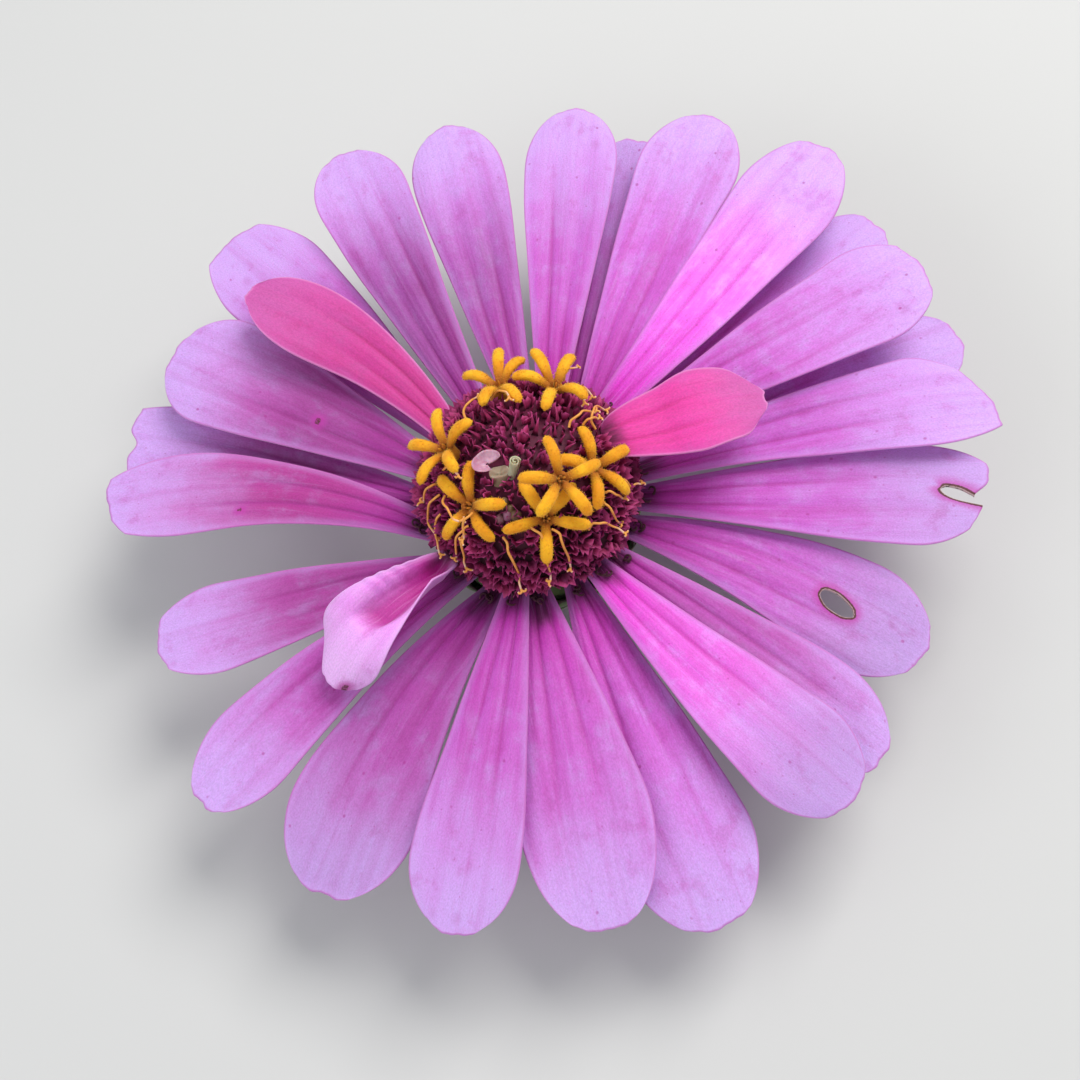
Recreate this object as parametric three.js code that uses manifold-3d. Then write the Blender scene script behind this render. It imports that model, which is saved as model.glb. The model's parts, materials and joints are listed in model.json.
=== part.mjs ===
// A single zinnia flower head, picked just below its green cup and resting on the cut end of its stalk.
// Millimetres, +Z up. The origin is the middle of the flat cut face, so the head stands on z = 0.
//
// From below: a short stalk, a cup of overlapping green bracts, a ring of 24 pink ray petals in layers,
// the domed chaffy head, three young hot-pink rays, seven open yellow star florets and two young
// florets on the crown.

import * as THREE from 'three';
import { mergeVertices } from 'three/addons/utils/BufferGeometryUtils.js';
import Module from 'manifold-3d';

const wasm = await Module();
wasm.setup();

// ---------- driving dimensions ----------
const CLEAR = 0.3;               // gap between neighbouring pieces that touch on the real flower

const STALK_RADIUS = 3.6;        // the hollow stalk swells just under the head
const STALK_TOP = 3.4;
const STALK_SIDES = 20;

const CUP_BOTTOM = STALK_TOP + CLEAR;
const CUP_RIM = 13.4;            // top of the receptacle inside the bracts
const CUP_RADIUS = 9.6;
const BRACT_ROWS = [             // rows of bracts from the stalk up to the rim
  { count: 8, foot: 4.6, length: 4.6, width: 5.0, spin: 10 },
  { count: 11, foot: 6.8, length: 4.8, width: 5.4, spin: 0 },
  { count: 13, foot: 9.0, length: 4.6, width: 5.4, spin: 14 },
];
const BRACT_THICK = 1.1;

const NECK_RADIUS = 8.3;         // where the ray claws end against the head
const NECK_BOTTOM = CUP_RIM + CLEAR;
const HEAD_SKIRT = 18.2;         // underside of the chaff that hangs over the claws
const HEAD_PROFILE = [           // radius, height of the dome from skirt to crown
  [10.5, 18.3], [10.5, 19.4], [10.1, 20.8], [9.3, 22.3], [8.1, 23.8],
  [6.5, 25.1], [4.5, 26.2], [2.3, 26.9],
];
const HEAD_TOP = 27.2;
const HEAD_SIDES = 36;
const CHAFF_COUNT = 185;         // pointed scales between the florets
const CHAFF_HEIGHT = 1.9;
const CHAFF_RADIUS = 1.25;
const CHAFF_SINK = 0.6;
const CHAFF_SIZES = [1, 0.75, 0.5, 0.35];   // a scale that would meet a floret or a claw is smaller

const CLAW_WIDTH = 2.0;
const CLAW_BASE = 14.4;          // height of the lowest layer of claws
const LAYER_PITCH = 1.0;         // the claws lie in layers this far apart
const RAY_THICK = 0.6;
const RAY_ROWS = [0, 0.1, 0.22, 0.36, 0.5, 0.64, 0.76, 0.86, 0.94, 1];   // closer together at the tip
const RAY_CELLS = 6;             // cells across a ray, one for each side of its three ribs
const RIB_HEIGHT = 0.28;
const TIP_CROWN = 1.0;           // the middle of a ray's tip stands this far ahead of its corners
const DROOP_START = 0.55;        // a drooping tip bends down from here on

const LOBE_LENGTH = 4.2;         // a star floret's five lobes
const LOBE_RADIUS = 0.66;
const LOBE_SIDES = 5;
const LOBE_STEPS = 4;
const FLORET_TILT = 28;          // an open floret leans out from the axis
const LOBE_START = 0.5;
const TUBE_RADIUS = 0.9;
const TUBE_LENGTH = 3.6;
const TUBE_SIDES = 6;

// ---------- the rays ----------
// claw: azimuth in degrees at the head; tip: azimuth of the tip; reach: radius of the tip;
// bow: how far the midrib bends to the left; width: widest place; wide: where that is along the ray;
// blunt: width of the tip against the widest place; layer: height layer of the claw;
// rise: tip above claw; arch: middle above the straight line; cup: how far the edges curl up (degrees),
// cupTip: the same at the tip; skew: how far the tip's left corner leads; notch: dent in the tip;
// root: radius where the claw starts, if it stands on the side of the head; full: below 1 the blade widens
// sooner; droop: how far the tip bends down.
const OUTER_RAYS = [
  { claw: 6, tip: 5.5, reach: 47.4, bow: 0, width: 11.0, wide: 0.85, blunt: 0.5, layer: 0, rise: -1.0, arch: 0.3, cup: 4 },
  { claw: 19, tip: 12.5, reach: 45.4, bow: 0, width: 11.2, wide: 0.90, blunt: 0.6, layer: 2, rise: 4.0, arch: 1.0, cup: 8 },
  { claw: 26, tip: 24, reach: 48.0, bow: 0, width: 10.5, wide: 0.85, blunt: 0.5, layer: 0, rise: 0.5, arch: 0.3, cup: 6 },
  { claw: 36, tip: 34, reach: 49.0, bow: -0.8, width: 11.0, wide: 0.86, blunt: 0.5, layer: 2, rise: 3.5, arch: 1.0, cup: 12 },
  { claw: 42, tip: 50, reach: 48.0, bow: 0, width: 11.0, wide: 0.88, blunt: 0.5, layer: 1, rise: 3.0, arch: 0.8, cup: 14 },
  { claw: 54, tip: 59.5, reach: 45.0, bow: 0, width: 10.0, wide: 0.85, blunt: 0.5, layer: 0, rise: 1.5, arch: 0.5, cup: 6 },
  { claw: 64, tip: 68, reach: 46.0, bow: 0, width: 10.4, wide: 0.88, blunt: 0.5, layer: 1, rise: 3.5, arch: 0.8, cup: 10 },
  { claw: 80, tip: 86.5, reach: 46.5, bow: 0, width: 10.6, wide: 0.88, blunt: 0.5, layer: 0, rise: 3.5, arch: 0.8, cup: 8 },
  { claw: 104, tip: 101, reach: 47.5, bow: 0.5, width: 10.6, wide: 0.90, blunt: 0.5, layer: 1, rise: 3.0, arch: 1.0, cup: 14 },
  { claw: 122, tip: 120, reach: 48.0, bow: 0, width: 12.4, wide: 0.86, blunt: 0.6, layer: 0, rise: 1.5, arch: 1.0, cup: 6 },
  { claw: 145, tip: 138.5, reach: 43.1, bow: 0, width: 13.2, wide: 0.88, blunt: 0.5, layer: 1, rise: 2.0, arch: 1.0, cup: 6 },
  { claw: 163, tip: 151.6, reach: 45.4, bow: 0, width: 10.6, wide: 0.86, blunt: 0.8, layer: 0, rise: -0.5, arch: 0.8, cup: 6, skew: -1.0, notch: 1.0 },
  { claw: 186, tip: 163, reach: 44.5, bow: -2.6, width: 9.2, wide: 0.82, blunt: 0.6, layer: 1, rise: 1.0, arch: 1.2, cup: 12 },
  { claw: 204, tip: 183, reach: 41.0, bow: 0, width: 9.8, wide: 0.86, blunt: 0.6, layer: 0, rise: -1.5, arch: 0.8, cup: 10 },
  { claw: 214, tip: 206, reach: 44.2, bow: -1.0, width: 9.8, wide: 0.86, blunt: 0.5, layer: 1, rise: -3.0, arch: 1.2, cup: 6 },
  { claw: 234, tip: 226, reach: 43.5, bow: -1.5, width: 13.4, wide: 0.84, blunt: 0.5, layer: 0, rise: -3.0, arch: 1.2, cup: 8 },
  { claw: 246, tip: 243.8, reach: 43.0, bow: 0.3, width: 10.8, wide: 0.88, blunt: 0.5, layer: 2, rise: -3.5, arch: 1.7, cup: -6 },
  { claw: 256, tip: 263.4, reach: 42.5, bow: 0, width: 12.8, wide: 0.76, blunt: 0.5, layer: 1, rise: -3.3, arch: 1.4, cup: 0 },
  { claw: 280, tip: 276.5, reach: 45.0, bow: 0, width: 13.0, wide: 0.84, blunt: 0.5, layer: 0, rise: -4.4, arch: 1.4, cup: 2 },
  { claw: 293, tip: 298, reach: 42.8, bow: -0.7, width: 10.8, wide: 0.88, blunt: 0.55, layer: 2, rise: -2.5, arch: 1.4, cup: -6 },
  { claw: 306, tip: 304.5, reach: 42.3, bow: 0, width: 10.5, wide: 0.86, blunt: 0.5, layer: 1, rise: -2.5, arch: 1.0, cup: 6 },
  { claw: 328, tip: 320, reach: 41.0, bow: 1.3, width: 11.5, wide: 0.84, blunt: 0.5, layer: 0, rise: -2.0, arch: 0.9, cup: 6, hole: true },
  { claw: 343, tip: 342, reach: 44.6, bow: 0, width: 11.2, wide: 0.86, blunt: 0.62, layer: 1, rise: 0.0, arch: 0.6, cup: 8, skew: 0.5, bite: true },
  { claw: 355, tip: 354.5, reach: 46.0, bow: 1.0, width: 10.0, wide: 0.90, blunt: 0.7, layer: 2, rise: 1.0, arch: 0.8, cup: 10, skew: -1.8 },
];
const YOUNG_RAYS = [
  { claw: 0, tip: -0.5, reach: 24.4, bow: 0, width: 8.8, wide: 0.55, blunt: 0.4, layer: 7.8, root: 9.8, rise: 0.7, arch: 1.5, cup: 14, full: 0.5 },
  { claw: 126, tip: 127, reach: 37.3, bow: -2.0, width: 8.6, wide: 0.80, blunt: 0.4, layer: 2, rise: 5.5, arch: 0.6, cup: 12 },
  { claw: 211, tip: 208.5, reach: 27.3, bow: 0, width: 8.4, wide: 0.80, blunt: 0.62, layer: 6, root: 10.7, rise: 0.8, arch: 1.6, cup: 115, cupTip: -55, droop: 3.5 },
];
const HOLE = { along: 0.71, across: 0.0, length: 4.2, width: 2.0, turn: -12 };
const BITE = { along: 0.95, across: -0.08, length: 6.0, width: 1.5, turn: -22 };

// ---------- the star florets ----------
// azimuth, radius and height of the throat; lobes: their five directions, in degrees to the left of outward
const STAR_FLORETS = [
  { azimuth: 90, radius: 7.9, height: 26.0, lobes: [342, 44, 150, 202, 310] },
  { azimuth: 50, radius: 8.0, height: 25.8, lobes: [60, 2, 106, 252, 192] },
  { azimuth: 158, radius: 7.2, height: 26.6, lobes: [284, 204, 350, 70, 132] },
  { azimuth: 209, radius: 6.8, height: 25.5, lobes: [210, 266, 130, 358, 74] },
  { azimuth: 275, radius: 6.9, height: 25.5, lobes: [192, 262, 338, 58, 120] },
  { azimuth: 300, radius: 5.8, height: 28.7, lobes: [152, 224, 68, 356, 282] },
  { azimuth: 332, radius: 7.2, height: 25.7, lobes: [120, 194, 48, 344, 284] },
];
const YOUNG_BLADE = { x: -2.8, y: -1.2, height: 28.6 };
const YOUNG_TUBE = { x: -0.6, y: -2.2, height: 29.4, radius: 0.6, length: 4.2 };

// ---------- materials ----------
const material = (color, roughness) => new THREE.MeshStandardMaterial({ color, roughness, metalness: 0 });
const PINK = 0xc86ed6;
const HOT_PINK = 0xe0489f;
const CRIMSON = 0x6b1440;
const GOLD = 0xf2b012;
const LEAF_GREEN = 0x5f8a3c;
const BRACT_GREEN = 0x4f7436;
const PALE_PINK = 0xd9a0b8;
const PALE_GREEN = 0xa9b27c;

// ---------- helpers ----------
const UP = new THREE.Vector3(0, 0, 1);
const radians = THREE.MathUtils.degToRad;
const clamp01 = (value) => Math.min(1, Math.max(0, value));

function polar(radius, degrees, height) {
  const angle = radians(degrees);
  return new THREE.Vector3(radius * Math.cos(angle), radius * Math.sin(angle), height);
}

function geometryFrom(points, triangles) {
  const geometry = new THREE.BufferGeometry();
  geometry.setAttribute('position', new THREE.Float32BufferAttribute(points.flatMap((p) => [p.x, p.y, p.z]), 3));
  geometry.setIndex(triangles.flat());
  return geometry;
}

// A closed geometry as a manifold solid.
function solid(geometry) {
  const bare = geometry.clone();
  bare.deleteAttribute('normal');
  bare.deleteAttribute('uv');
  const merged = mergeVertices(bare, 1e-4);
  return new wasm.Manifold(new wasm.Mesh({
    numProp: 3,
    vertProperties: new Float32Array(merged.attributes.position.array),
    triVerts: new Uint32Array(merged.index.array),
  }));
}

function geometryOf(manifold) {
  const mesh = manifold.getMesh();
  const geometry = new THREE.BufferGeometry();
  geometry.setAttribute('position', new THREE.BufferAttribute(new Float32Array(mesh.vertProperties), 3));
  geometry.setIndex(new THREE.BufferAttribute(new Uint32Array(mesh.triVerts), 1));
  return geometry;
}

// The largest of the separate bodies in a solid: loose scraps are dropped.
function largestBody(manifold) {
  return manifold.decompose().sort((a, b) => b.volume() - a.volume())[0];
}

const union = (solids) => wasm.Manifold.union(solids);

function node(name, geometry, color, roughness = 0.6) {
  geometry.computeVertexNormals();
  const mesh = new THREE.Mesh(geometry, material(color, roughness));
  mesh.name = name;
  return mesh;
}

// A round body about +Z from radius, height pairs that start and end on the axis, lowest first.
function turned(profile, sides) {
  const lathe = new THREE.LatheGeometry(profile.map(([r, z]) => new THREE.Vector2(r, z)), sides);
  lathe.rotateX(Math.PI / 2);
  return lathe;
}

// A closed skin over rings of points that all have the same number of corners.
function loft(rings) {
  const sides = rings[0].length;
  const points = rings.flat();
  const triangles = [];
  for (let i = 0; i + 1 < rings.length; i += 1) {
    for (let j = 0; j < sides; j += 1) {
      const a = i * sides + j;
      const b = i * sides + ((j + 1) % sides);
      triangles.push([a, b, b + sides], [a, b + sides, a + sides]);
    }
  }
  const last = (rings.length - 1) * sides;
  for (let j = 1; j + 1 < sides; j += 1) {
    triangles.push([0, j + 1, j], [last, last + j, last + j + 1]);
  }
  return geometryFrom(points, triangles);
}

// ---------- ray petals ----------
// The midrib is one arched curve from the claw to the tip.
function midrib(ray, t) {
  const foot = polar(ray.root ?? NECK_RADIUS + CLEAR, ray.claw, CLAW_BASE + LAYER_PITCH * ray.layer);
  const tip = polar(ray.reach, ray.tip, foot.z + ray.rise);
  const chord = tip.clone().sub(foot);
  const left = new THREE.Vector3(-chord.y, chord.x, 0).normalize();
  const middle = foot.clone().addScaledVector(chord, 0.5)
    .addScaledVector(left, 2 * ray.bow)
    .addScaledVector(UP, 2 * ray.arch);
  // A claw that leaves at a slant starts a little further out, so that its corner clears the head.
  const outward = polar(1, ray.claw, 0);
  const slant = new THREE.Vector3().crossVectors(outward, middle.clone().sub(foot).setZ(0).normalize()).length();
  foot.addScaledVector(outward, (CLAW_WIDTH / 2) * slant);
  const curve = new THREE.QuadraticBezierCurve3(foot, middle, tip);
  return { point: curve.getPoint(t), along: curve.getTangent(t) };
}

function halfWidth(ray, t) {
  const s = clamp01(t / ray.wide);
  const claw = CLAW_WIDTH / ray.width;
  const body = claw + (1 - claw) * ((7 * s - s ** 7) / 6) ** (ray.full ?? 1);
  const from = ray.wide - 0.12;
  const tip = Math.sqrt(1 - (1 - ray.blunt ** 2) * clamp01((t - from) / (1 - from)) ** 2.6);
  return (ray.width / 2) * body * tip;
}

// The place on a ray's middle surface t along it and v across it (-1 right edge, 1 left edge).
function rayPlace(ray, t, v) {
  const { point, along } = midrib(ray, t);
  const left = new THREE.Vector3().crossVectors(UP, along).normalize();
  const up = new THREE.Vector3().crossVectors(along, left);
  const half = halfWidth(ray, t);
  const curl = radians(THREE.MathUtils.lerp(ray.cup, ray.cupTip ?? 0.4 * ray.cup, t)) * clamp01(t / 0.2);
  const bend = Math.abs(curl) < 1e-3 ? 1e-3 : curl;
  const ribs = RIB_HEIGHT * clamp01(t / 0.15) * (1 - t) * (1 - Math.cos(3 * Math.PI * (v + 1))) / 2;
  const sideways = half * Math.sin(bend * v) / bend;
  const raised = half * (1 - Math.cos(bend * v)) / bend + ribs;
  const end = THREE.MathUtils.smoothstep(t, 0.72, 1);
  const ahead = end * ((ray.skew ?? 0) * v - TIP_CROWN * v * v - (ray.notch ?? 0) * Math.exp(-((v / 0.25) ** 2)));
  const drop = (ray.droop ?? 0) * clamp01((t - DROOP_START) / (1 - DROOP_START)) ** 2;
  const place = point.clone().addScaledVector(left, sideways).addScaledVector(up, raised)
    .addScaledVector(along, ahead).addScaledVector(UP, -drop);
  const normal = up.clone().multiplyScalar(Math.cos(bend * v)).addScaledVector(left, -Math.sin(bend * v));
  return { place, normal, along, left };
}

// A thin blade, split into triangles alike on both faces.
function rayGeometry(ray) {
  const steps = RAY_ROWS.length - 1;
  const columns = RAY_CELLS + 1;
  const top = [];
  const under = [];
  for (const t of RAY_ROWS) {
    for (let j = 0; j < columns; j += 1) {
      const { place, normal } = rayPlace(ray, t, (2 * j) / RAY_CELLS - 1);
      top.push(place.clone().addScaledVector(normal, RAY_THICK / 2));
      under.push(place.clone().addScaledVector(normal, -RAY_THICK / 2));
    }
  }
  const count = top.length;
  const at = (i, j) => i * columns + j;
  const triangles = [];
  const quad = (a, b, c, d) => triangles.push([a, b, c], [a, c, d]);
  for (let i = 0; i < steps; i += 1) {
    for (let j = 0; j < RAY_CELLS; j += 1) {
      const [a, b, c, d] = [at(i, j), at(i + 1, j), at(i + 1, j + 1), at(i, j + 1)];
      quad(a, b, c, d);
      triangles.push([a + count, c + count, b + count], [a + count, d + count, c + count]);
    }
  }
  for (let i = 0; i < steps; i += 1) {
    quad(at(i, 0), at(i, 0) + count, at(i + 1, 0) + count, at(i + 1, 0));
    quad(at(i + 1, RAY_CELLS), at(i + 1, RAY_CELLS) + count, at(i, RAY_CELLS) + count, at(i, RAY_CELLS));
  }
  for (let j = 0; j < RAY_CELLS; j += 1) {
    quad(at(0, j + 1), at(0, j + 1) + count, at(0, j) + count, at(0, j));
    quad(at(steps, j), at(steps, j) + count, at(steps, j + 1) + count, at(steps, j + 1));
  }
  return geometryFrom([...top, ...under], triangles);
}

// An oval plug that stands through a blade, to cut a chewed hole or a bite with it.
function chewedPlug(ray, chew) {
  const { place, normal, along, left } = rayPlace(ray, chew.along, chew.across);
  const outline = new THREE.Shape();
  outline.absellipse(0, 0, chew.length / 2, chew.width / 2, 0, 2 * Math.PI);
  const plug = new THREE.ExtrudeGeometry(outline, { depth: 6, bevelEnabled: false, curveSegments: 10 });
  plug.translate(0, 0, -3);
  plug.rotateZ(radians(chew.turn));
  plug.applyMatrix4(new THREE.Matrix4().makeBasis(along, left, normal).setPosition(place));
  return solid(plug);
}

function rayNode(name, ray, color) {
  let geometry = rayGeometry(ray);
  if (ray.hole) geometry = geometryOf(largestBody(solid(geometry).subtract(chewedPlug(ray, HOLE))));
  if (ray.bite) geometry = geometryOf(largestBody(solid(geometry).subtract(chewedPlug(ray, BITE))));
  return node(name, geometry, color, 0.55);
}

// ---------- star florets ----------
// Frame at a floret's throat: its axis leans outwards.
function throatFrame(floret) {
  const outward = polar(1, floret.azimuth, 0);
  const axis = UP.clone().multiplyScalar(Math.cos(radians(FLORET_TILT)))
    .addScaledVector(outward, Math.sin(radians(FLORET_TILT)));
  const left = new THREE.Vector3().crossVectors(axis, outward).normalize();
  const out = new THREE.Vector3().crossVectors(left, axis);
  return new THREE.Matrix4().makeBasis(out, left, axis)
    .setPosition(polar(floret.radius, floret.azimuth, floret.height));
}

// A lobe's middle line, along +X: it rises from the throat and bends back at its tip.
function lobeSpot(t) {
  return new THREE.Vector3(LOBE_START + (LOBE_LENGTH - LOBE_START) * t, 0, Math.sin(Math.PI * 0.85 * t) - 0.2);
}

function lobeGeometry() {
  const rings = [];
  for (let i = 0; i <= LOBE_STEPS; i += 1) {
    const t = i / LOBE_STEPS;
    const radius = LOBE_RADIUS * (i === LOBE_STEPS ? 0.45 : 0.55 + 0.45 * Math.sin(Math.PI * Math.min(1, 1.15 * t)));
    const ring = [];
    for (let j = 0; j < LOBE_SIDES; j += 1) {
      const angle = (2 * Math.PI * j) / LOBE_SIDES;
      ring.push(lobeSpot(t).add(new THREE.Vector3(0, radius * Math.cos(angle), 0.85 * radius * Math.sin(angle))));
    }
    rings.push(ring);
  }
  return loft(rings);
}

function starGeometry(floret) {
  const tube = turned([[0, -TUBE_LENGTH], [TUBE_RADIUS * 0.8, -TUBE_LENGTH], [TUBE_RADIUS, 0.3], [0, 0.45]],
    TUBE_SIDES);
  const parts = [solid(tube)];
  for (const direction of floret.lobes) parts.push(solid(lobeGeometry().rotateZ(radians(direction))));
  return geometryOf(largestBody(union(parts))).applyMatrix4(throatFrame(floret));
}

// The hole in the head that a floret's tube stands in.
function tubeSocket(floret) {
  const radius = TUBE_RADIUS + CLEAR;
  const hole = turned([[0, -TUBE_LENGTH - CLEAR], [radius, -TUBE_LENGTH - CLEAR], [radius, 2], [0, 2]], TUBE_SIDES);
  return solid(hole.applyMatrix4(throatFrame(floret)));
}

// ---------- young florets on the crown ----------
function youngBladeSolid(grown = 0) {
  const { x, y, height } = YOUNG_BLADE;
  const claw = new THREE.CylinderGeometry(0.55 + grown, 0.45 + grown, 3.4 + grown, 6).rotateX(Math.PI / 2)
    .translate(x + 0.9, y - 0.4, height - 1.9 - grown / 2);
  const outline = new THREE.Shape();
  outline.absellipse(0, 0, 1.5 + grown, 1.0 + grown, 0, 2 * Math.PI);
  const thick = RAY_THICK + 2 * grown;
  const blade = new THREE.ExtrudeGeometry(outline, { depth: thick, bevelEnabled: false, curveSegments: 6 })
    .translate(0, 0, -thick / 2).rotateX(radians(25)).rotateZ(radians(15)).translate(x - 0.1, y + 0.1, height);
  return union([solid(claw), solid(blade)]);
}

function youngTubeSolid(grown = 0) {
  const { x, y, height, radius, length } = YOUNG_TUBE;
  const tube = new THREE.CylinderGeometry(radius + grown, radius * 0.8 + grown, length + grown, 8)
    .rotateX(Math.PI / 2).translate(0, 0, -(length + grown) / 2).rotateX(radians(-6)).translate(x, y, height);
  return solid(tube);
}

// ---------- the chaffy head ----------
// Where the dome's surface is at a fraction of its slope, from the skirt to the crown.
function domePlace(fraction) {
  const outline = new THREE.CurvePath();
  const corners = [...HEAD_PROFILE, [0, HEAD_TOP]].map(([r, z]) => new THREE.Vector2(r, z));
  for (let i = 0; i + 1 < corners.length; i += 1) outline.add(new THREE.LineCurve(corners[i], corners[i + 1]));
  const spot = outline.getPoint(fraction);
  const ahead = outline.getPoint(Math.min(1, fraction + 0.02));
  const behind = outline.getPoint(Math.max(0, fraction - 0.02));
  const slope = ahead.clone().sub(behind).normalize();
  return { radius: spot.x, height: spot.y, normal: new THREE.Vector2(slope.y, -slope.x) };
}

// Places that the chaff keeps clear of: the florets' lobes, the crown florets and the claws of the rays.
function keepClearPlaces() {
  const places = [];
  for (const floret of STAR_FLORETS) {
    const frame = throatFrame(floret);
    for (const direction of floret.lobes) {
      for (const t of [0.1, 0.4, 0.7, 1]) {
        const spot = lobeSpot(t).applyAxisAngle(UP, radians(direction)).applyMatrix4(frame);
        places.push({ spot, radius: LOBE_RADIUS + CLEAR });
      }
    }
    places.push({ spot: new THREE.Vector3(0, 0, -0.8).applyMatrix4(frame), radius: TUBE_RADIUS + CLEAR });
  }
  for (const young of [YOUNG_BLADE, YOUNG_TUBE]) {
    for (const below of [0, 0.9, 1.8, 2.7]) {
      places.push({ spot: new THREE.Vector3(young.x, young.y, young.height - below), radius: 1.3 });
    }
  }
  for (const ray of [...OUTER_RAYS, ...YOUNG_RAYS]) {
    for (const t of [0, 0.04, 0.08, 0.12, 0.16]) {
      for (const v of [-1, 0, 1]) places.push({ spot: rayPlace(ray, t, v).place, radius: 1.2 });
    }
  }
  return places;
}

// A pointed scale: a flat four-sided cone, its root sunk into the dome.
function chaffSolid(place, axis, outward, size) {
  const height = CHAFF_HEIGHT * size;
  const scale = new THREE.ConeGeometry(CHAFF_RADIUS * Math.sqrt(size), height + CHAFF_SINK, 4)
    .translate(0, (height + CHAFF_SINK) / 2 - CHAFF_SINK, 0)
    .rotateY(radians(45))
    .scale(1, 1, 0.75);
  const side = new THREE.Vector3().crossVectors(UP, outward);
  const face = new THREE.Vector3().crossVectors(side, axis);
  return solid(scale.applyMatrix4(new THREE.Matrix4().makeBasis(side, axis, face).setPosition(place)));
}

// Chaff scales in golden-angle order, each as large as fits; where none fits, the place stays bare.
function chaffScales() {
  const goldenAngle = 180 * (3 - Math.sqrt(5));
  const places = keepClearPlaces();
  const scales = [];
  for (let k = 0; k < CHAFF_COUNT; k += 1) {
    const { radius, height, normal } = domePlace(1 - Math.sqrt((k + 0.5) / CHAFF_COUNT));
    const azimuth = k * goldenAngle;
    const outward = polar(1, azimuth, 0);
    const axis = outward.clone().multiplyScalar(normal.x).addScaledVector(UP, normal.y + 0.35).normalize();
    const root = polar(radius, azimuth, height);
    const fits = (size) => [0.1, 0.4, 0.7, 1].every((t) => {
      const spot = root.clone().addScaledVector(axis, CHAFF_HEIGHT * size * t);
      const half = CHAFF_RADIUS * Math.sqrt(size) * (1 - t);
      return places.every((place) => place.spot.distanceTo(spot) > place.radius + half);
    });
    const size = CHAFF_SIZES.find(fits);
    if (size) scales.push(chaffSolid(root, axis, outward, size));
  }
  return scales;
}

function headNode() {
  const core = turned([[0, NECK_BOTTOM], [NECK_RADIUS, NECK_BOTTOM], [NECK_RADIUS, HEAD_SKIRT - 0.1],
    ...HEAD_PROFILE, [0, HEAD_TOP]], HEAD_SIDES);
  const sockets = [...STAR_FLORETS.map(tubeSocket), youngBladeSolid(CLEAR), youngTubeSolid(CLEAR)];
  const head = union([solid(core), ...chaffScales()]).subtract(union(sockets));
  return node('chaffy_head', geometryOf(largestBody(head)), CRIMSON, 0.8);
}

// ---------- green cup and stalk ----------
function cupRadius(height) {
  const s = clamp01((height - CUP_BOTTOM) / (CUP_RIM - CUP_BOTTOM));
  return STALK_RADIUS + 0.6 + (CUP_RADIUS - STALK_RADIUS - 0.6) * Math.sin((Math.PI / 2) * s) ** 0.75;
}

// A rounded bract pressed against the cup: a curved shield, thick at its foot and thin at its rim.
function bractSolid(row, index) {
  const azimuth = row.spin + (360 * index) / row.count;
  const steps = 3;
  const cells = 2;
  const outer = [];
  const inner = [];
  for (let i = 0; i <= steps; i += 1) {
    const t = i / steps;
    const height = Math.min(row.foot + row.length * t, CUP_RIM - 0.2);
    const half = (row.width / 2) * Math.sqrt(1 - (0.92 * t) ** 2.4);
    const base = cupRadius(height);
    for (let j = 0; j <= cells; j += 1) {
      const v = (2 * j) / cells - 1;
      const turn = azimuth + THREE.MathUtils.radToDeg((v * half) / base);
      const bulge = 0.2 + 0.7 * t + 0.4 * BRACT_THICK * (1 - v * v);
      outer.push(polar(base + bulge, turn, height));
      inner.push(polar(base - 0.8, turn, height));
    }
  }
  const count = outer.length;
  const at = (i, j) => i * (cells + 1) + j;
  const triangles = [];
  const quad = (a, b, c, d) => triangles.push([a, b, c], [a, c, d]);
  for (let i = 0; i < steps; i += 1) {
    for (let j = 0; j < cells; j += 1) {
      quad(at(i, j), at(i, j + 1), at(i + 1, j + 1), at(i + 1, j));
      quad(at(i, j) + count, at(i + 1, j) + count, at(i + 1, j + 1) + count, at(i, j + 1) + count);
    }
    quad(at(i, 0) + count, at(i, 0), at(i + 1, 0), at(i + 1, 0) + count);
    quad(at(i, cells), at(i, cells) + count, at(i + 1, cells) + count, at(i + 1, cells));
  }
  for (let j = 0; j < cells; j += 1) {
    quad(at(0, j), at(0, j) + count, at(0, j + 1) + count, at(0, j + 1));
    quad(at(steps, j) + count, at(steps, j), at(steps, j + 1), at(steps, j + 1) + count);
  }
  return solid(geometryFrom([...outer, ...inner], triangles));
}

function cupNode() {
  const profile = [[0, CUP_BOTTOM]];
  for (let i = 0; i <= 5; i += 1) {
    const height = CUP_BOTTOM + ((CUP_RIM - CUP_BOTTOM) * i) / 5;
    profile.push([cupRadius(height), height]);
  }
  profile.push([0, CUP_RIM]);
  const parts = [solid(turned(profile, 24))];
  for (const row of BRACT_ROWS) {
    for (let index = 0; index < row.count; index += 1) parts.push(bractSolid(row, index));
  }
  return node('bract_cup', geometryOf(largestBody(union(parts))), BRACT_GREEN, 0.7);
}

function stalkNode() {
  const profile = [[0, 0], [STALK_RADIUS - 0.1, 0], [STALK_RADIUS, 1.2], [STALK_RADIUS + 0.4, STALK_TOP], [0, STALK_TOP]];
  return node('cut_stalk', turned(profile, STALK_SIDES), LEAF_GREEN, 0.7);
}

// ---------- the whole flower head ----------
const flower = new THREE.Group();
flower.add(stalkNode());
flower.add(cupNode());
OUTER_RAYS.forEach((ray, i) => {
  flower.add(rayNode(`ray_${String(i + 1).padStart(2, '0')}`, ray, PINK));
});
YOUNG_RAYS.forEach((ray, i) => {
  flower.add(rayNode(`young_ray_${i + 1}`, ray, HOT_PINK));
});
flower.add(headNode());
STAR_FLORETS.forEach((floret, i) => {
  flower.add(node(`star_floret_${i + 1}`, starGeometry(floret), GOLD, 0.7));
});
flower.add(node('young_floret_1', geometryOf(youngBladeSolid()), PALE_PINK, 0.6));
flower.add(node('young_floret_2', geometryOf(youngTubeSolid()), PALE_GREEN, 0.6));

export default flower;
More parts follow.
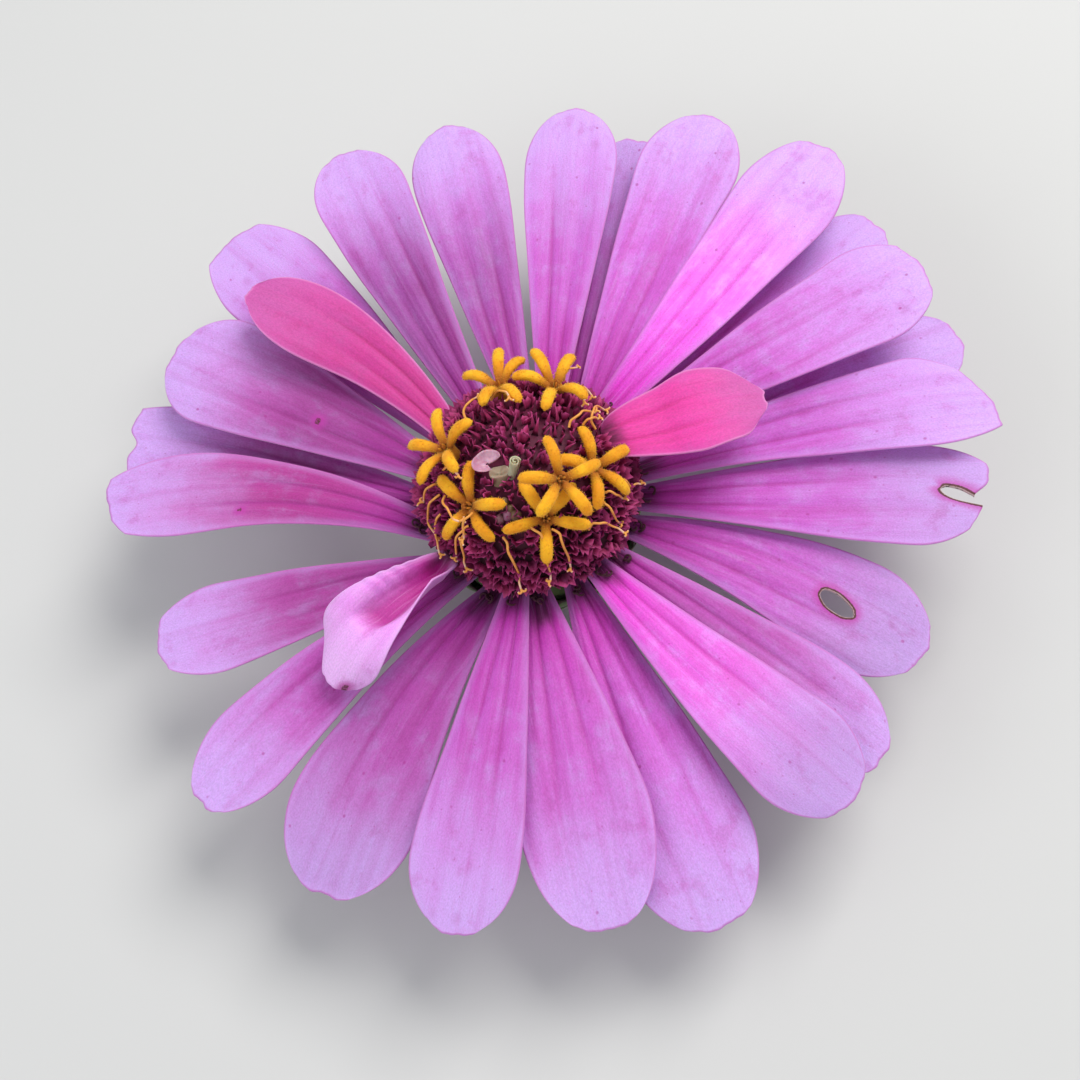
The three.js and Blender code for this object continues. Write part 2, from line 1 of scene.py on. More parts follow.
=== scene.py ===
# %% [markdown]
# # A zinnia flower, from one ray petal to the whole bloom
# The flower is a picked head: pink ray petals in layers round a dome of crimson chaff, golden star-shaped
# florets on the dome, and a green cup on a short cut stalk below. The solids of the model come in first, as
# a fixed frame, because every petal and floret made here has to sit exactly where its solid is. Lengths are
# written in millimetres, as a gardener would measure them, and turned into metres when a mesh is made.

# %% Load the frame and keep its box
import json
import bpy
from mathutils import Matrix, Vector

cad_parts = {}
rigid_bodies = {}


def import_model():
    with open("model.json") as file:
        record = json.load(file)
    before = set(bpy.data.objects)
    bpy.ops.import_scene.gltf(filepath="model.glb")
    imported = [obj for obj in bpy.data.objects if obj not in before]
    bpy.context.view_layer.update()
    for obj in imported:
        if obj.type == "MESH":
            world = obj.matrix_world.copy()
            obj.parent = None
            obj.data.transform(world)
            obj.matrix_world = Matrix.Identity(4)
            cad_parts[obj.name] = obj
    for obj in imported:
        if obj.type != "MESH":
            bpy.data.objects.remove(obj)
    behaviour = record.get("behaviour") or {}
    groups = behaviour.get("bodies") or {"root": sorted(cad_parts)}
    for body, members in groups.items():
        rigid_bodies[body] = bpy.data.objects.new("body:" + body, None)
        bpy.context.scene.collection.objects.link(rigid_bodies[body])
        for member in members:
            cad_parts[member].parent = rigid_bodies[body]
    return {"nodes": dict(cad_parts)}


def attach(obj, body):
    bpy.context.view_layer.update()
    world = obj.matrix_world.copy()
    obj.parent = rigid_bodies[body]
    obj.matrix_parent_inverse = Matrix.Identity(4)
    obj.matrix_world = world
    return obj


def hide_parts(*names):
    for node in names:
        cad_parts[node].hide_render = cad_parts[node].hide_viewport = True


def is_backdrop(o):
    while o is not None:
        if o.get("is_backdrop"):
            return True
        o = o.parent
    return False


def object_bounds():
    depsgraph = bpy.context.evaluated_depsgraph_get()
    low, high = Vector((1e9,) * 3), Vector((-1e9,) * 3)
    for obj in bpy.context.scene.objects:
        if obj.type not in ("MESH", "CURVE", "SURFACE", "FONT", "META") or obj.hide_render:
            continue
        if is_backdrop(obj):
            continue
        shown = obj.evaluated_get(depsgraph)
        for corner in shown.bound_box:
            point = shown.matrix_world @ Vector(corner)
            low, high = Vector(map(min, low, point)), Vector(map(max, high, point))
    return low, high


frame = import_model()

from types import SimpleNamespace

import bpy
import numpy as np
from mathutils import Matrix, Vector

MM = 0.001
BODY = "root"
cad_box = [list(corner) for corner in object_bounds()]
box_mm = [[round(x / MM, 1) for x in corner] for corner in cad_box]
print("solids:", len(frame["nodes"]), "box in mm:", box_mm)

# %% [markdown]
# ## Camera, floor and light
# The photograph looks steeply down on the flower, and the camera was turned a little about its own axis.
# Two named angles, a distance and one point of the head that lies on a known pixel fix the view. Blender's
# camera helpers would need the render size, so the matrix is built from the three directions directly. The
# light is that of a bright cloudy day: a pale sky all round, one large soft lamp from the upper right, and
# a weaker one from the left that keeps the shadows between the petals open.

# %% Camera
IMAGE_SIDE = 1080                # pixels along each side of the photograph
FOCAL_PIXELS = 1480              # focal length in those pixels
SENSOR = 36.0                    # millimetres
ELEVATION, ROLL = np.radians((66.0, 17.0))
DISTANCE = 150.0                 # millimetres from the camera to the head
HEAD_MIDDLE = np.array((0.0, 0.0, 15.0))
HEAD_PIXEL = (534, 503)          # the pixel that the head's middle falls on
NEAREST = 0.01                   # metres; nothing closer to the camera is drawn


def new_object(name, data):
    """Puts a mesh, a lamp or a camera into the scene."""
    thing = bpy.data.objects.new(name, data)
    bpy.context.scene.collection.objects.link(thing)
    return thing


def camera_axes():
    """Right, up and forward of the camera."""
    forward = np.array((0, np.cos(ELEVATION), -np.sin(ELEVATION)))
    level = np.array((1.0, 0, 0))
    rise = np.array((0, np.sin(ELEVATION), np.cos(ELEVATION)))
    right = np.cos(ROLL) * level - np.sin(ROLL) * rise
    up = np.sin(ROLL) * level + np.cos(ROLL) * rise
    return right, up, forward


def make_camera():
    right, up, forward = camera_axes()
    pixel = DISTANCE / FOCAL_PIXELS
    middle = IMAGE_SIDE / 2
    aim = HEAD_MIDDLE + right * (middle - HEAD_PIXEL[0]) * pixel - up * (middle - HEAD_PIXEL[1]) * pixel
    place = Matrix.Translation(Vector((aim - forward * DISTANCE) * MM))
    camera = new_object("camera", bpy.data.cameras.new("camera"))
    camera.matrix_world = place @ Matrix(np.column_stack((right, up, -forward))).to_4x4()
    camera.data.sensor_width = SENSOR
    camera.data.lens = FOCAL_PIXELS / IMAGE_SIDE * SENSOR
    camera.data.clip_start = NEAREST
    bpy.context.scene.camera = camera
    return camera


camera = make_camera()
print("camera lens in mm:", round(camera.data.lens, 1))
print("camera place in mm:", [round(x / MM) for x in camera.location])

# %% Floor and sky
FLOOR_SIDE = 3.0                 # metres
FLOOR_COLOUR, FLOOR_ROUGHNESS = (0.60, 0.60, 0.59), 0.9
SKY_COLOUR, SKY_STRENGTH = (0.93, 0.96, 1.0), 0.50


def make_floor():
    half = FLOOR_SIDE / 2
    corners = [(-half, -half, 0), (half, -half, 0), (half, half, 0), (-half, half, 0)]
    mesh = bpy.data.meshes.new("floor")
    mesh.from_pydata(corners, [], [(0, 1, 2, 3)])
    material = bpy.data.materials.new("floor_paper")
    material.use_nodes = True
    paint = material.node_tree.nodes["Principled BSDF"]
    paint.inputs["Base Color"].default_value = (*FLOOR_COLOUR, 1)
    paint.inputs["Roughness"].default_value = FLOOR_ROUGHNESS
    mesh.materials.append(material)
    floor = new_object("floor", mesh)
    floor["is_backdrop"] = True


def make_sky():
    world = bpy.data.worlds.new("cloudy_sky")
    world.use_nodes = True
    sky = world.node_tree.nodes["Background"]
    sky.inputs["Color"].default_value = (*SKY_COLOUR, 1)
    sky.inputs["Strength"].default_value = SKY_STRENGTH
    bpy.context.scene.world = world


make_floor()
make_sky()
print("floor side in metres:", FLOOR_SIDE, "sky strength:", SKY_STRENGTH)

# %% Lamps
LAMPS = (                        # name, place and side in millimetres, watts, colour
    ("key_softbox", (260, 150, 430), 300, 2.35, (1.0, 0.985, 0.96)),
    ("fill_softbox", (-420, -160, 300), 400, 1.1, (0.95, 0.96, 1.0)),
)


def make_lamp(name, place, side, power, colour):
    """A square soft lamp, turned to the head."""
    lamp = new_object(name, bpy.data.lights.new(name, "AREA"))
    lamp.data.size = side * MM
    lamp.data.energy = power
    lamp.data.color = colour
    lamp.location = Vector(place) * MM
    aim = Vector(HEAD_MIDDLE) - Vector(place)
    lamp.rotation_euler = aim.to_track_quat("-Z", "Y").to_euler()


for lamp in LAMPS:
    make_lamp(*lamp)
bpy.context.scene.view_settings.view_transform = "Standard"

# %% [markdown]
# ## A few words for wiring nodes
# Materials and Geometry Nodes are long lists of small steps. One helper adds a node and fills its inputs,
# and takes either a plain value or another node's output for each of them. The short helpers after it name
# the steps that every finish here is made of: noise, a soft step between two values, and a mix of two
# colours.

# %% Node helpers
def add(tree, kind, inputs=None, **settings):
    """Adds a node. Inputs are named or numbered; each is a value, or an output to link from."""
    node = tree.nodes.new(kind)
    for key, value in settings.items():
        setattr(node, key, value)
    for key, value in (inputs or {}).items():
        if isinstance(value, bpy.types.NodeSocket):
            tree.links.new(value, node.inputs[key])
        else:
            node.inputs[key].default_value = value
    return node


def maths(tree, operation, a, b=0.0):
    return add(tree, "ShaderNodeMath", {0: a, 1: b}, operation=operation).outputs[0]


def times(tree, a, b):
    return maths(tree, "MULTIPLY", a, b)


def stretch(tree, vector, factors):
    """Scales a vector axis by axis."""
    return add(tree, "ShaderNodeVectorMath", {0: vector, 1: factors}, operation="MULTIPLY").outputs[0]


def noise(tree, vector, scale, detail=2.0, roughness=0.5):
    inputs = {"Vector": vector, "Scale": scale, "Detail": detail, "Roughness": roughness}
    return add(tree, "ShaderNodeTexNoise", inputs).outputs["Fac"]


def soft_step(tree, value, low, high, start=0.0, end=1.0):
    """Start below low, end above high, and a smooth change between them."""
    inputs = {0: value, 1: low, 2: high, 3: start, 4: end}
    return add(tree, "ShaderNodeMapRange", inputs, interpolation_type="SMOOTHSTEP").outputs[0]


def straight_step(tree, value, low, high, start, end):
    """The same with a straight change."""
    return add(tree, "ShaderNodeMapRange", {0: value, 1: low, 2: high, 3: start, 4: end}).outputs[0]


words = (add, maths, times, stretch, noise, soft_step, straight_step)
print("short words for nodes:", ", ".join(word.__name__ for word in words))

# %% Colours, marks and places in a tree
def rgba(colour):
    """Gives a plain colour its alpha. An output to link from stays as it is."""
    return (*colour, 1) if isinstance(colour, tuple) else colour


def mix(tree, factor, a, b, blend="MIX"):
    """Mixes two colours."""
    inputs = {0: factor, 6: rgba(a), 7: rgba(b)}
    return add(tree, "ShaderNodeMix", inputs, data_type="RGBA", blend_type=blend).outputs[2]


def attribute(tree, name):
    return add(tree, "ShaderNodeAttribute", attribute_name=name).outputs


def parts_of(tree, vector):
    return add(tree, "ShaderNodeSeparateXYZ", {0: vector}).outputs


def object_place(tree):
    """The point's place in its piece, in metres."""
    return add(tree, "ShaderNodeTexCoord").outputs["Object"]


words = (rgba, mix, attribute, parts_of, object_place)
print("short words for colours and marks:", ", ".join(word.__name__ for word in words))

# %% Finishes and effect groups
COLOUR, NUMBER = "NodeSocketColor", "NodeSocketFloat"


def effect_group(name, inputs, outputs):
    """A shader node group with its named sockets. Gives the group, its inputs and its outputs."""
    group = bpy.data.node_groups.new(name, "ShaderNodeTree")
    for label, kind, value in inputs:
        socket = group.interface.new_socket(name=label, in_out="INPUT", socket_type=kind)
        socket.default_value = value
    for label, kind in outputs:
        group.interface.new_socket(name=label, in_out="OUTPUT", socket_type=kind)
    enter = group.nodes.new("NodeGroupInput").outputs
    leave = group.nodes.new("NodeGroupOutput").inputs
    return group, enter, leave


def new_finish(name, **constants):
    """A material whose shader has these plain values. Gives the material, its tree and its shader."""
    material = bpy.data.materials.new(name)
    material.use_nodes = True
    tree = material.node_tree
    shader = tree.nodes["Principled BSDF"]
    for label, value in constants.items():
        shader.inputs[label.replace("_", " ")].default_value = value
    return material, tree, shader


def use_group(tree, group, **values):
    """Places an effect group in a material with its own values."""
    placed = tree.nodes.new("ShaderNodeGroup")
    placed.node_tree = group
    for label, value in values.items():
        placed.inputs[label].default_value = rgba(value)
    return placed.outputs


def connect(tree, shader, colour, height, bump_depth, roughness=None):
    """Feeds the shader. The bump's depth is in millimetres."""
    bump = add(tree, "ShaderNodeBump", {"Height": height, "Distance": bump_depth * MM})
    tree.links.new(colour, shader.inputs["Base Color"])
    tree.links.new(bump.outputs["Normal"], shader.inputs["Normal"])
    if roughness is not None:
        tree.links.new(roughness, shader.inputs["Roughness"])


print("sockets of an effect group:", COLOUR, NUMBER)

# %% [markdown]
# ## From points in millimetres to a dressed piece
# Every piece is made in numpy, in the flower's own frame, and each point can carry marks: how far along the
# petal it is, how deep in a groove, how far from the margin. The finishes read these marks, so a vein
# follows its petal wherever the petal bends. `dress` says which body the piece rides on and which solid it
# stands for.

# %% Points
UP = np.array((0.0, 0.0, 1.0))
FULL_TURN = 2 * np.pi
ANY_PHASE = (0, 6.28)            # radians: a random phase lies anywhere on the circle


def unit(vector):
    vector = np.asarray(vector, float)
    return vector / np.linalg.norm(vector, axis=-1, keepdims=True)


def polar(radius, degrees, height):
    angle = np.radians(degrees)
    return np.stack(np.broadcast_arrays(radius * np.cos(angle), radius * np.sin(angle), height), axis=-1)


def smooth(low, high, x):
    """0 below low, 1 above high, smooth between."""
    s = np.clip((x - low) / (high - low), 0, 1)
    return s * s * (3 - 2 * s)


def circle(sides):
    """Evenly spaced angles in radians, all the way round."""
    return np.linspace(0, FULL_TURN, sides, endpoint=False)


def oval(turn, wide, deep, height):
    """Points round +Z at these angles, at one height or one for each point."""
    return np.column_stack((wide * np.cos(turn), deep * np.sin(turn), np.broadcast_to(height, turn.shape)))


def grid_of(first, second):
    """The two coordinates of each point of a grid, numbered row by row."""
    return (flat.ravel() for flat in np.meshgrid(first, second, indexing="ij"))


def both(values):
    """The same values for the two faces of a sheet."""
    return np.concatenate((values, values))


print("a unit vector:", unit((3, 4, 0)), "a quarter up a smooth step:", smooth(0, 1, 0.25))

# %% Faces
def ring_faces(rings, sides):
    """Faces of a closed skin over rings of points, which go round to the left seen from their far end."""
    faces = []
    for i in range(rings - 1):
        for j in range(sides):
            a, b = i * sides + j, i * sides + (j + 1) % sides
            faces.append([a, b, b + sides, a + sides])
    first = list(range(sides))
    return faces + [first[::-1], [corner + (rings - 1) * sides for corner in first]]


def grid_faces(rows, columns):
    """Faces of a grid whose points are numbered row by row."""
    first = (np.arange(rows - 1)[:, None] * columns + np.arange(columns - 1)[None, :]).ravel()
    return np.column_stack((first, first + columns, first + columns + 1, first + 1))


def close_sheet(quads, count):
    """Closes a sheet of count points: its faces, the same on the points below, and a wall round each rim."""
    edges = np.concatenate([np.column_stack((quads[:, k], quads[:, (k + 1) % 4])) for k in range(4)])
    rim = edges[~np.isin(edges[:, 0] * count + edges[:, 1], edges[:, 1] * count + edges[:, 0])]
    walls = np.column_stack((rim[:, 1], rim[:, 0], rim[:, 0] + count, rim[:, 1] + count))
    return np.concatenate((quads, quads[:, ::-1] + count, walls))


def lathe(profile, sides):
    """A closed round body about +Z from (radius, height) pairs, lowest first."""
    angles = np.arange(sides) * 360 / sides
    points = np.concatenate([polar(max(r, 1e-3), angles, z) for r, z in profile])
    return points, ring_faces(len(profile), sides)


print("faces of a box:", len(ring_faces(2, 4)), "of a thin sheet:", len(close_sheet(grid_faces(2, 2), 4)))

# %% Pieces
def new_mesh(name, points, faces, material=None, marks=None):
    mesh = bpy.data.meshes.new(name)
    mesh.from_pydata((np.asarray(points, float) * MM).tolist(), [], [list(map(int, face)) for face in faces])
    for label, values in (marks or {}).items():
        values = np.asarray(values, np.float32)
        vector = values.ndim == 2
        layer = mesh.attributes.new(label, "FLOAT_VECTOR" if vector else "FLOAT", "POINT")
        layer.data.foreach_set("vector" if vector else "value", values.ravel())
    if material:
        mesh.materials.append(material)
    mesh.shade_smooth()
    return mesh


def dress(name, mesh, slot, *nodes):
    """Makes the mesh a piece of the flower that stands for these solids."""
    piece = new_object(name, mesh)
    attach(piece, BODY)
    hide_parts(*nodes)
    return piece


def gather(parts):
    """Joins (points, faces, marks) parts, all with the same marks, into one."""
    points, faces, marks, start = [], [], {}, 0
    for part_points, part_faces, part_marks in parts:
        points.append(part_points)
        faces.extend([[corner + start for corner in face] for face in part_faces])
        for label, values in part_marks.items():
            marks.setdefault(label, []).append(values)
        start += len(part_points)
    return np.concatenate(points), faces, {label: np.concatenate(values) for label, values in marks.items()}


print("every piece rides on the body:", BODY)

# %% [markdown]
# ## Geometry Nodes for what repeats
# Three small trees make everything that repeats. `scatter` puts a random part of a set on each point of a
# guide mesh, turned to that point's axis: chaff scales, velvet and the hairs of the stalk. `strands` turns
# guide lines into thin tubes that taper: the old styles. `ring` repeats one part round the stalk: the
# bracts of the cup. Each tree ends in Realize Instances and Set Material, and the result is turned into a
# plain mesh at once.

# %% Geometry Nodes helpers
GEOMETRY, WHOLE, FINISH = "NodeSocketGeometry", "NodeSocketInt", "NodeSocketMaterial"


def new_tree(name, inputs):
    tree = bpy.data.node_groups.new(name, "GeometryNodeTree")
    tree.interface.new_socket(name="Geometry", in_out="INPUT", socket_type=GEOMETRY)
    for label, kind in inputs:
        tree.interface.new_socket(name=label, in_out="INPUT", socket_type=kind)
    tree.interface.new_socket(name="Geometry", in_out="OUTPUT", socket_type=GEOMETRY)
    return tree, tree.nodes.new("NodeGroupInput").outputs, tree.nodes.new("NodeGroupOutput").inputs


def named(tree, label, kind="FLOAT"):
    return add(tree, "GeometryNodeInputNamedAttribute", {"Name": label}, data_type=kind).outputs["Attribute"]


def random_between(tree, low, high, seed):
    return add(tree, "FunctionNodeRandomValue", {2: low, 3: high, "Seed": seed}, data_type="FLOAT").outputs[1]


def store(tree, geometry, label, value, domain):
    """Keeps a value on the geometry under a name, so that the finish can read it."""
    inputs = {"Geometry": geometry, "Name": label, "Value": value}
    return add(tree, "GeometryNodeStoreNamedAttribute", inputs, data_type="FLOAT", domain=domain).outputs[0]


def end_tree(tree, geometry, finish, leave):
    real = add(tree, "GeometryNodeRealizeInstances", {0: geometry})
    finished = add(tree, "GeometryNodeSetMaterial", {"Geometry": real.outputs[0], "Material": finish})
    tree.links.new(finished.outputs[0], leave[0])
    return tree


def grow(name, tree, guide, values):
    """Runs a tree on a guide mesh and gives the result as a plain mesh."""
    helper = bpy.data.objects.new(name, guide)
    modifier = helper.modifiers.new(tree.name, "NODES")
    modifier.node_group = tree
    for item in tree.interface.items_tree:
        if item.in_out == "INPUT" and item.name in values:
            modifier[item.identifier] = values[item.name]
    bpy.context.scene.collection.objects.link(helper)
    depsgraph = bpy.context.evaluated_depsgraph_get()
    evaluated = helper.evaluated_get(depsgraph)
    mesh = bpy.data.meshes.new_from_object(evaluated, preserve_all_data_layers=True, depsgraph=depsgraph)
    mesh.name = name
    bpy.data.objects.remove(helper)
    return mesh


print("a tree takes and gives:", GEOMETRY)

# %% The scatter tree
def facing_rotation(tree, spin):
    """Stands a part along its point's axis, turns its front to the facing and then spins it by chance."""
    axis, front = named(tree, "axis", "FLOAT_VECTOR"), named(tree, "facing", "FLOAT_VECTOR")
    upright = add(tree, "FunctionNodeAlignRotationToVector", {"Vector": axis}, axis="Z")
    inputs = {"Rotation": upright.outputs[0], "Vector": front}
    facing = add(tree, "FunctionNodeAlignRotationToVector", inputs, axis="X", pivot_axis="Z")
    spun = add(tree, "FunctionNodeAxisAngleToRotation", {"Axis": (0, 0, 1), "Angle": spin})
    inputs = {0: facing.outputs[0], 1: spun.outputs[0]}
    return add(tree, "FunctionNodeRotateRotation", inputs, rotation_space="LOCAL").outputs[0]


def scatter_tree():
    tree, enter, leave = new_tree("scatter", [
        ("Parts", "NodeSocketCollection"), ("Size Jitter", NUMBER), ("Spin Jitter", NUMBER),
        ("Lowest Tone", NUMBER), ("Seed", WHOLE), ("Finish", FINISH),
    ])
    seed, jitter = enter["Seed"], enter["Spin Jitter"]
    parts = add(tree, "GeometryNodeCollectionInfo", {"Collection": enter["Parts"], "Separate Children": True})
    spin = random_between(tree, times(tree, jitter, -1.0), jitter, seed)
    low, high = (maths(tree, operation, 1.0, enter["Size Jitter"]) for operation in ("SUBTRACT", "ADD"))
    share = random_between(tree, low, high, maths(tree, "ADD", seed, 1.0))
    choice = add(tree, "FunctionNodeRandomValue", {4: 0, 5: 999, "Seed": seed}, data_type="INT").outputs[2]
    placed = add(tree, "GeometryNodeInstanceOnPoints", {
        "Points": enter["Geometry"], "Instance": parts.outputs[0], "Pick Instance": True,
        "Instance Index": choice, "Rotation": facing_rotation(tree, spin),
        "Scale": times(tree, named(tree, "size"), share),
    })
    tone = random_between(tree, enter["Lowest Tone"], 1.0, maths(tree, "ADD", seed, 2.0))
    toned = store(tree, placed.outputs[0], "tone", tone, "INSTANCE")
    return end_tree(tree, toned, enter["Finish"], leave)


SCATTER = scatter_tree()
print("scatter tree nodes:", len(SCATTER.nodes))

# %% Scattering small parts
def scatter(name, guides, parts, material, seed, size_jitter, spin_jitter, lowest_tone=0.0):
    """Guides: place, axis, facing (n × 3, millimetres) and size (n). Parts: small meshes to pick from."""
    places, axes, facings, sizes = guides
    guide = new_mesh(name + "_guide", places, [], None, {"axis": axes, "facing": facings, "size": sizes})
    box = bpy.data.collections.new(name + "_parts")
    for k, mesh in enumerate(parts):
        box.objects.link(bpy.data.objects.new(f"{name}_part_{k}", mesh))
    mesh = grow(name, SCATTER, guide, {
        "Parts": box, "Size Jitter": size_jitter, "Spin Jitter": spin_jitter, "Lowest Tone": lowest_tone,
        "Seed": seed, "Finish": material})
    for thing in list(box.objects):
        bpy.data.objects.remove(thing)
    bpy.data.collections.remove(box)
    return mesh


print("small parts are scattered by the tree:", SCATTER.name)

# %% The strands and ring trees
def strands_tree():
    tree, enter, leave = new_tree("strands", [
        ("Radius", NUMBER), ("Tip Share", NUMBER), ("Step", NUMBER), ("Sides", WHOLE), ("Finish", FINISH),
    ])
    lines = add(tree, "GeometryNodeMeshToCurve", {0: enter["Geometry"]})
    curve = add(tree, "GeometryNodeCurveSplineType", {0: lines.outputs[0]}, spline_type="CATMULL_ROM")
    inputs = {"Curve": curve.outputs[0], "Length": enter["Step"]}
    even = add(tree, "GeometryNodeResampleCurve", inputs, mode="LENGTH")
    along = add(tree, "GeometryNodeSplineParameter").outputs["Factor"]
    kept = store(tree, even.outputs[0], "along", along, "POINT")
    share = straight_step(tree, along, 0.0, 1.0, 1.0, enter["Tip Share"])
    thick = add(tree, "GeometryNodeSetCurveRadius", {"Curve": kept, "Radius": share})
    inputs = {"Resolution": enter["Sides"], "Radius": enter["Radius"]}
    rim = add(tree, "GeometryNodeCurvePrimitiveCircle", inputs)
    inputs = {"Curve": thick.outputs[0], "Profile Curve": rim.outputs[0], "Scale": share, "Fill Caps": True}
    tube = add(tree, "GeometryNodeCurveToMesh", inputs)
    return end_tree(tree, tube.outputs[0], enter["Finish"], leave)


def ring_tree():
    tree, enter, leave = new_tree("ring", [("Count", WHOLE), ("Spin", NUMBER), ("Finish", FINISH)])
    places = add(tree, "GeometryNodePoints", {"Count": enter["Count"]})
    index = tree.nodes.new("GeometryNodeInputIndex").outputs[0]
    step = maths(tree, "DIVIDE", FULL_TURN, enter["Count"])
    angle = maths(tree, "ADD", times(tree, index, step), enter["Spin"])
    turn = add(tree, "FunctionNodeAxisAngleToRotation", {"Axis": (0, 0, 1), "Angle": angle})
    placed = add(tree, "GeometryNodeInstanceOnPoints", {
        "Points": places.outputs[0], "Instance": enter["Geometry"], "Rotation": turn.outputs[0],
    })
    return end_tree(tree, placed.outputs[0], enter["Finish"], leave)


STRANDS, RING = strands_tree(), ring_tree()
print("strands and ring tree nodes:", len(STRANDS.nodes), len(RING.nodes))

# %% Tubes along paths
STRAND_SIDES, STRAND_STEP = 6, 0.15


def strands(name, paths, radius, tip_share, material):
    """Tubes along paths, each a list of points in millimetres."""
    edges, start = [], 0
    for path in paths:
        edges += [(start + k, start + k + 1) for k in range(len(path) - 1)]
        start += len(path)
    guide = bpy.data.meshes.new(name + "_guide")
    guide.from_pydata((np.concatenate(paths) * MM).tolist(), edges, [])
    mesh = grow(name, STRANDS, guide, {
        "Radius": radius * MM, "Tip Share": tip_share, "Step": STRAND_STEP * MM, "Sides": STRAND_SIDES,
        "Finish": material,
    })
    mesh.shade_smooth()
    return mesh


print("a strand has", STRAND_SIDES, "sides and a ring every", STRAND_STEP, "mm")

# %% [markdown]
# ## The colour of a ray petal
# A zinnia petal is magenta where it leaves the head and fades to a cool lilac at its tip. Fine streaks run
# along it, the grooves between its ribs are darker with painted shade, small purple flecks lie scattered
# over it, and the chewed places have a brown rim. All of it is drawn in the petal's own millimetres, so no
# picture is needed and every petal differs by its seed. Old and young petals share the drawing, as a node
# group, with colours of their own. Each function below paints one layer over the colour that it is given.

# %% What the petal paint reads
NOISES = {                       # how close it is along, across and through the petal, detail, roughness
    "clouds": ((0.10, 0.22, 1.0), 3.0, 0.5),
    "mottle": ((0.30, 0.38, 1.0), 5.0, 0.65),
    "bands": ((0.035, 0.75, 1.0), 2.0, 0.5),
    "streaks": ((0.14, 3.4, 1.0), 4.0, 0.6),
    "cells": ((5.0, 7.0, 1.0), 2.0, 0.5),
}


def petal_readings(tree):
    """The marks of a petal's points, and noises drawn in its own millimetres."""
    along, across, upper = parts_of(tree, attribute(tree, "petal_at")["Vector"])
    groove, edge, chewed = parts_of(tree, attribute(tree, "petal_marks")["Vector"])
    place = attribute(tree, "petal_mm")["Vector"]
    noises = {}
    for name, (closeness, detail, roughness) in NOISES.items():
        noises[name] = noise(tree, stretch(tree, place, closeness), 1.0, detail, roughness)
    return SimpleNamespace(
        place=place, along=along, across=across, upper=upper, groove=groove, edge=edge, chewed=chewed,
        blush=attribute(tree, "blush")["Fac"], light=attribute(tree, "light")["Fac"], **noises)


def centred(tree, value, reach):
    """Turns a noise round 0.5 into one round 0 that reaches this far."""
    return times(tree, maths(tree, "SUBTRACT", value, 0.5), reach)


print("noises on a petal:", ", ".join(NOISES))

# %% Ground, bands and streaks
FOOT_PURPLE_AND_SHADE, FOOT_BLOT = (0.10, 0.004, 0.05), (0.045, 0.003, 0.014)


def paint_ground(tree, read, paint):
    """Base, middle and tip run into each other in clouds. The foot is dark: its own deep purple, with painted
    shade where the chaff covers it, and darkest in its middle.
    """
    shifted = maths(tree, "ADD", read.along, centred(tree, read.clouds, 0.35))
    # blush: partly the petal's own rose, partly painted reddish light bounced between shaded petals
    middle = mix(tree, read.blush, paint["Middle"], paint["Blush"])
    colour = mix(tree, soft_step(tree, shifted, 0.05, 0.45), paint["Base"], middle)
    colour = mix(tree, soft_step(tree, shifted, 0.45, 1.0), colour, paint["Tip"])
    outer_part = soft_step(tree, read.along, 0.1, 0.5)
    pale = times(tree, soft_step(tree, read.mottle, 0.46, 0.70, 0.0, 0.42), outer_part)
    colour = mix(tree, pale, colour, paint["Tip"])
    colour = mix(tree, soft_step(tree, read.mottle, 0.46, 0.30, 0.0, 0.30), colour, paint["Vein"])
    # painted shade: the petal darkens towards the head, where the chaff shades it, over the foot's own deep
    # purple
    colour = mix(tree, soft_step(tree, read.along, 0.15, 0.03, 0.0, 0.80), colour, FOOT_PURPLE_AND_SHADE)
    middle_part = soft_step(tree, maths(tree, "ABSOLUTE", read.across), 0.85, 0.25)
    blot = times(tree, soft_step(tree, shifted, 0.14, 0.05), middle_part)
    return mix(tree, times(tree, blot, 0.8), colour, FOOT_BLOT)


def paint_streaks(tree, read, paint, colour):
    """Broad pink bands and fine streaks, fainter towards the tip, painted shade in the grooves, and fine pale
    streaks.
    """
    fade = soft_step(tree, read.along, 0.30, 0.95, 1.0, 0.35)
    band = times(tree, soft_step(tree, read.bands, 0.47, 0.75), times(tree, fade, 0.50))
    streak = times(tree, soft_step(tree, read.streaks, 0.50, 0.76), times(tree, fade, 0.30))
    # painted shade: the grooves take the vein colour, more where they are deeper
    for share in (band, streak, times(tree, read.groove, 0.60)):
        colour = mix(tree, share, colour, paint["Vein"])
    return mix(tree, soft_step(tree, read.streaks, 0.46, 0.28, 0.0, 0.16), colour, paint["Tip"])


print("darkest colour at a petal's foot:", FOOT_BLOT)

# %% Grain and painted light, flecks, margin and chewed rims
FLECKS = (                       # cells to a millimetre, reach in a cell, share of cells left bare, strength
    (0.20, 0.20, 0.50, 0.20),
    (0.42, 0.11, 0.55, 0.60),
    (0.95, 0.13, 0.65, 0.45),
)
FLECK_COLOUR = (0.34, 0.015, 0.22)
RIM_BROWN, RIM_LIP = (0.09, 0.022, 0.024), (0.48, 0.34, 0.34)


def paint_grain_and_light(tree, read, colour):
    """The cells of the skin, faintly seen, and painted light and shade that make the whole petal paler or
    darker.
    """
    # painted light and shade: the light mark makes a petal paler or darker as a whole, as the light falls on
    # it
    grain_and_light = times(tree, straight_step(tree, read.cells, 0.3, 0.7, 0.87, 1.08), read.light)
    grey = add(tree, "ShaderNodeCombineXYZ", {0: grain_and_light, 1: grain_and_light, 2: grain_and_light}).outputs[0]
    return mix(tree, 1.0, colour, grey, "MULTIPLY")


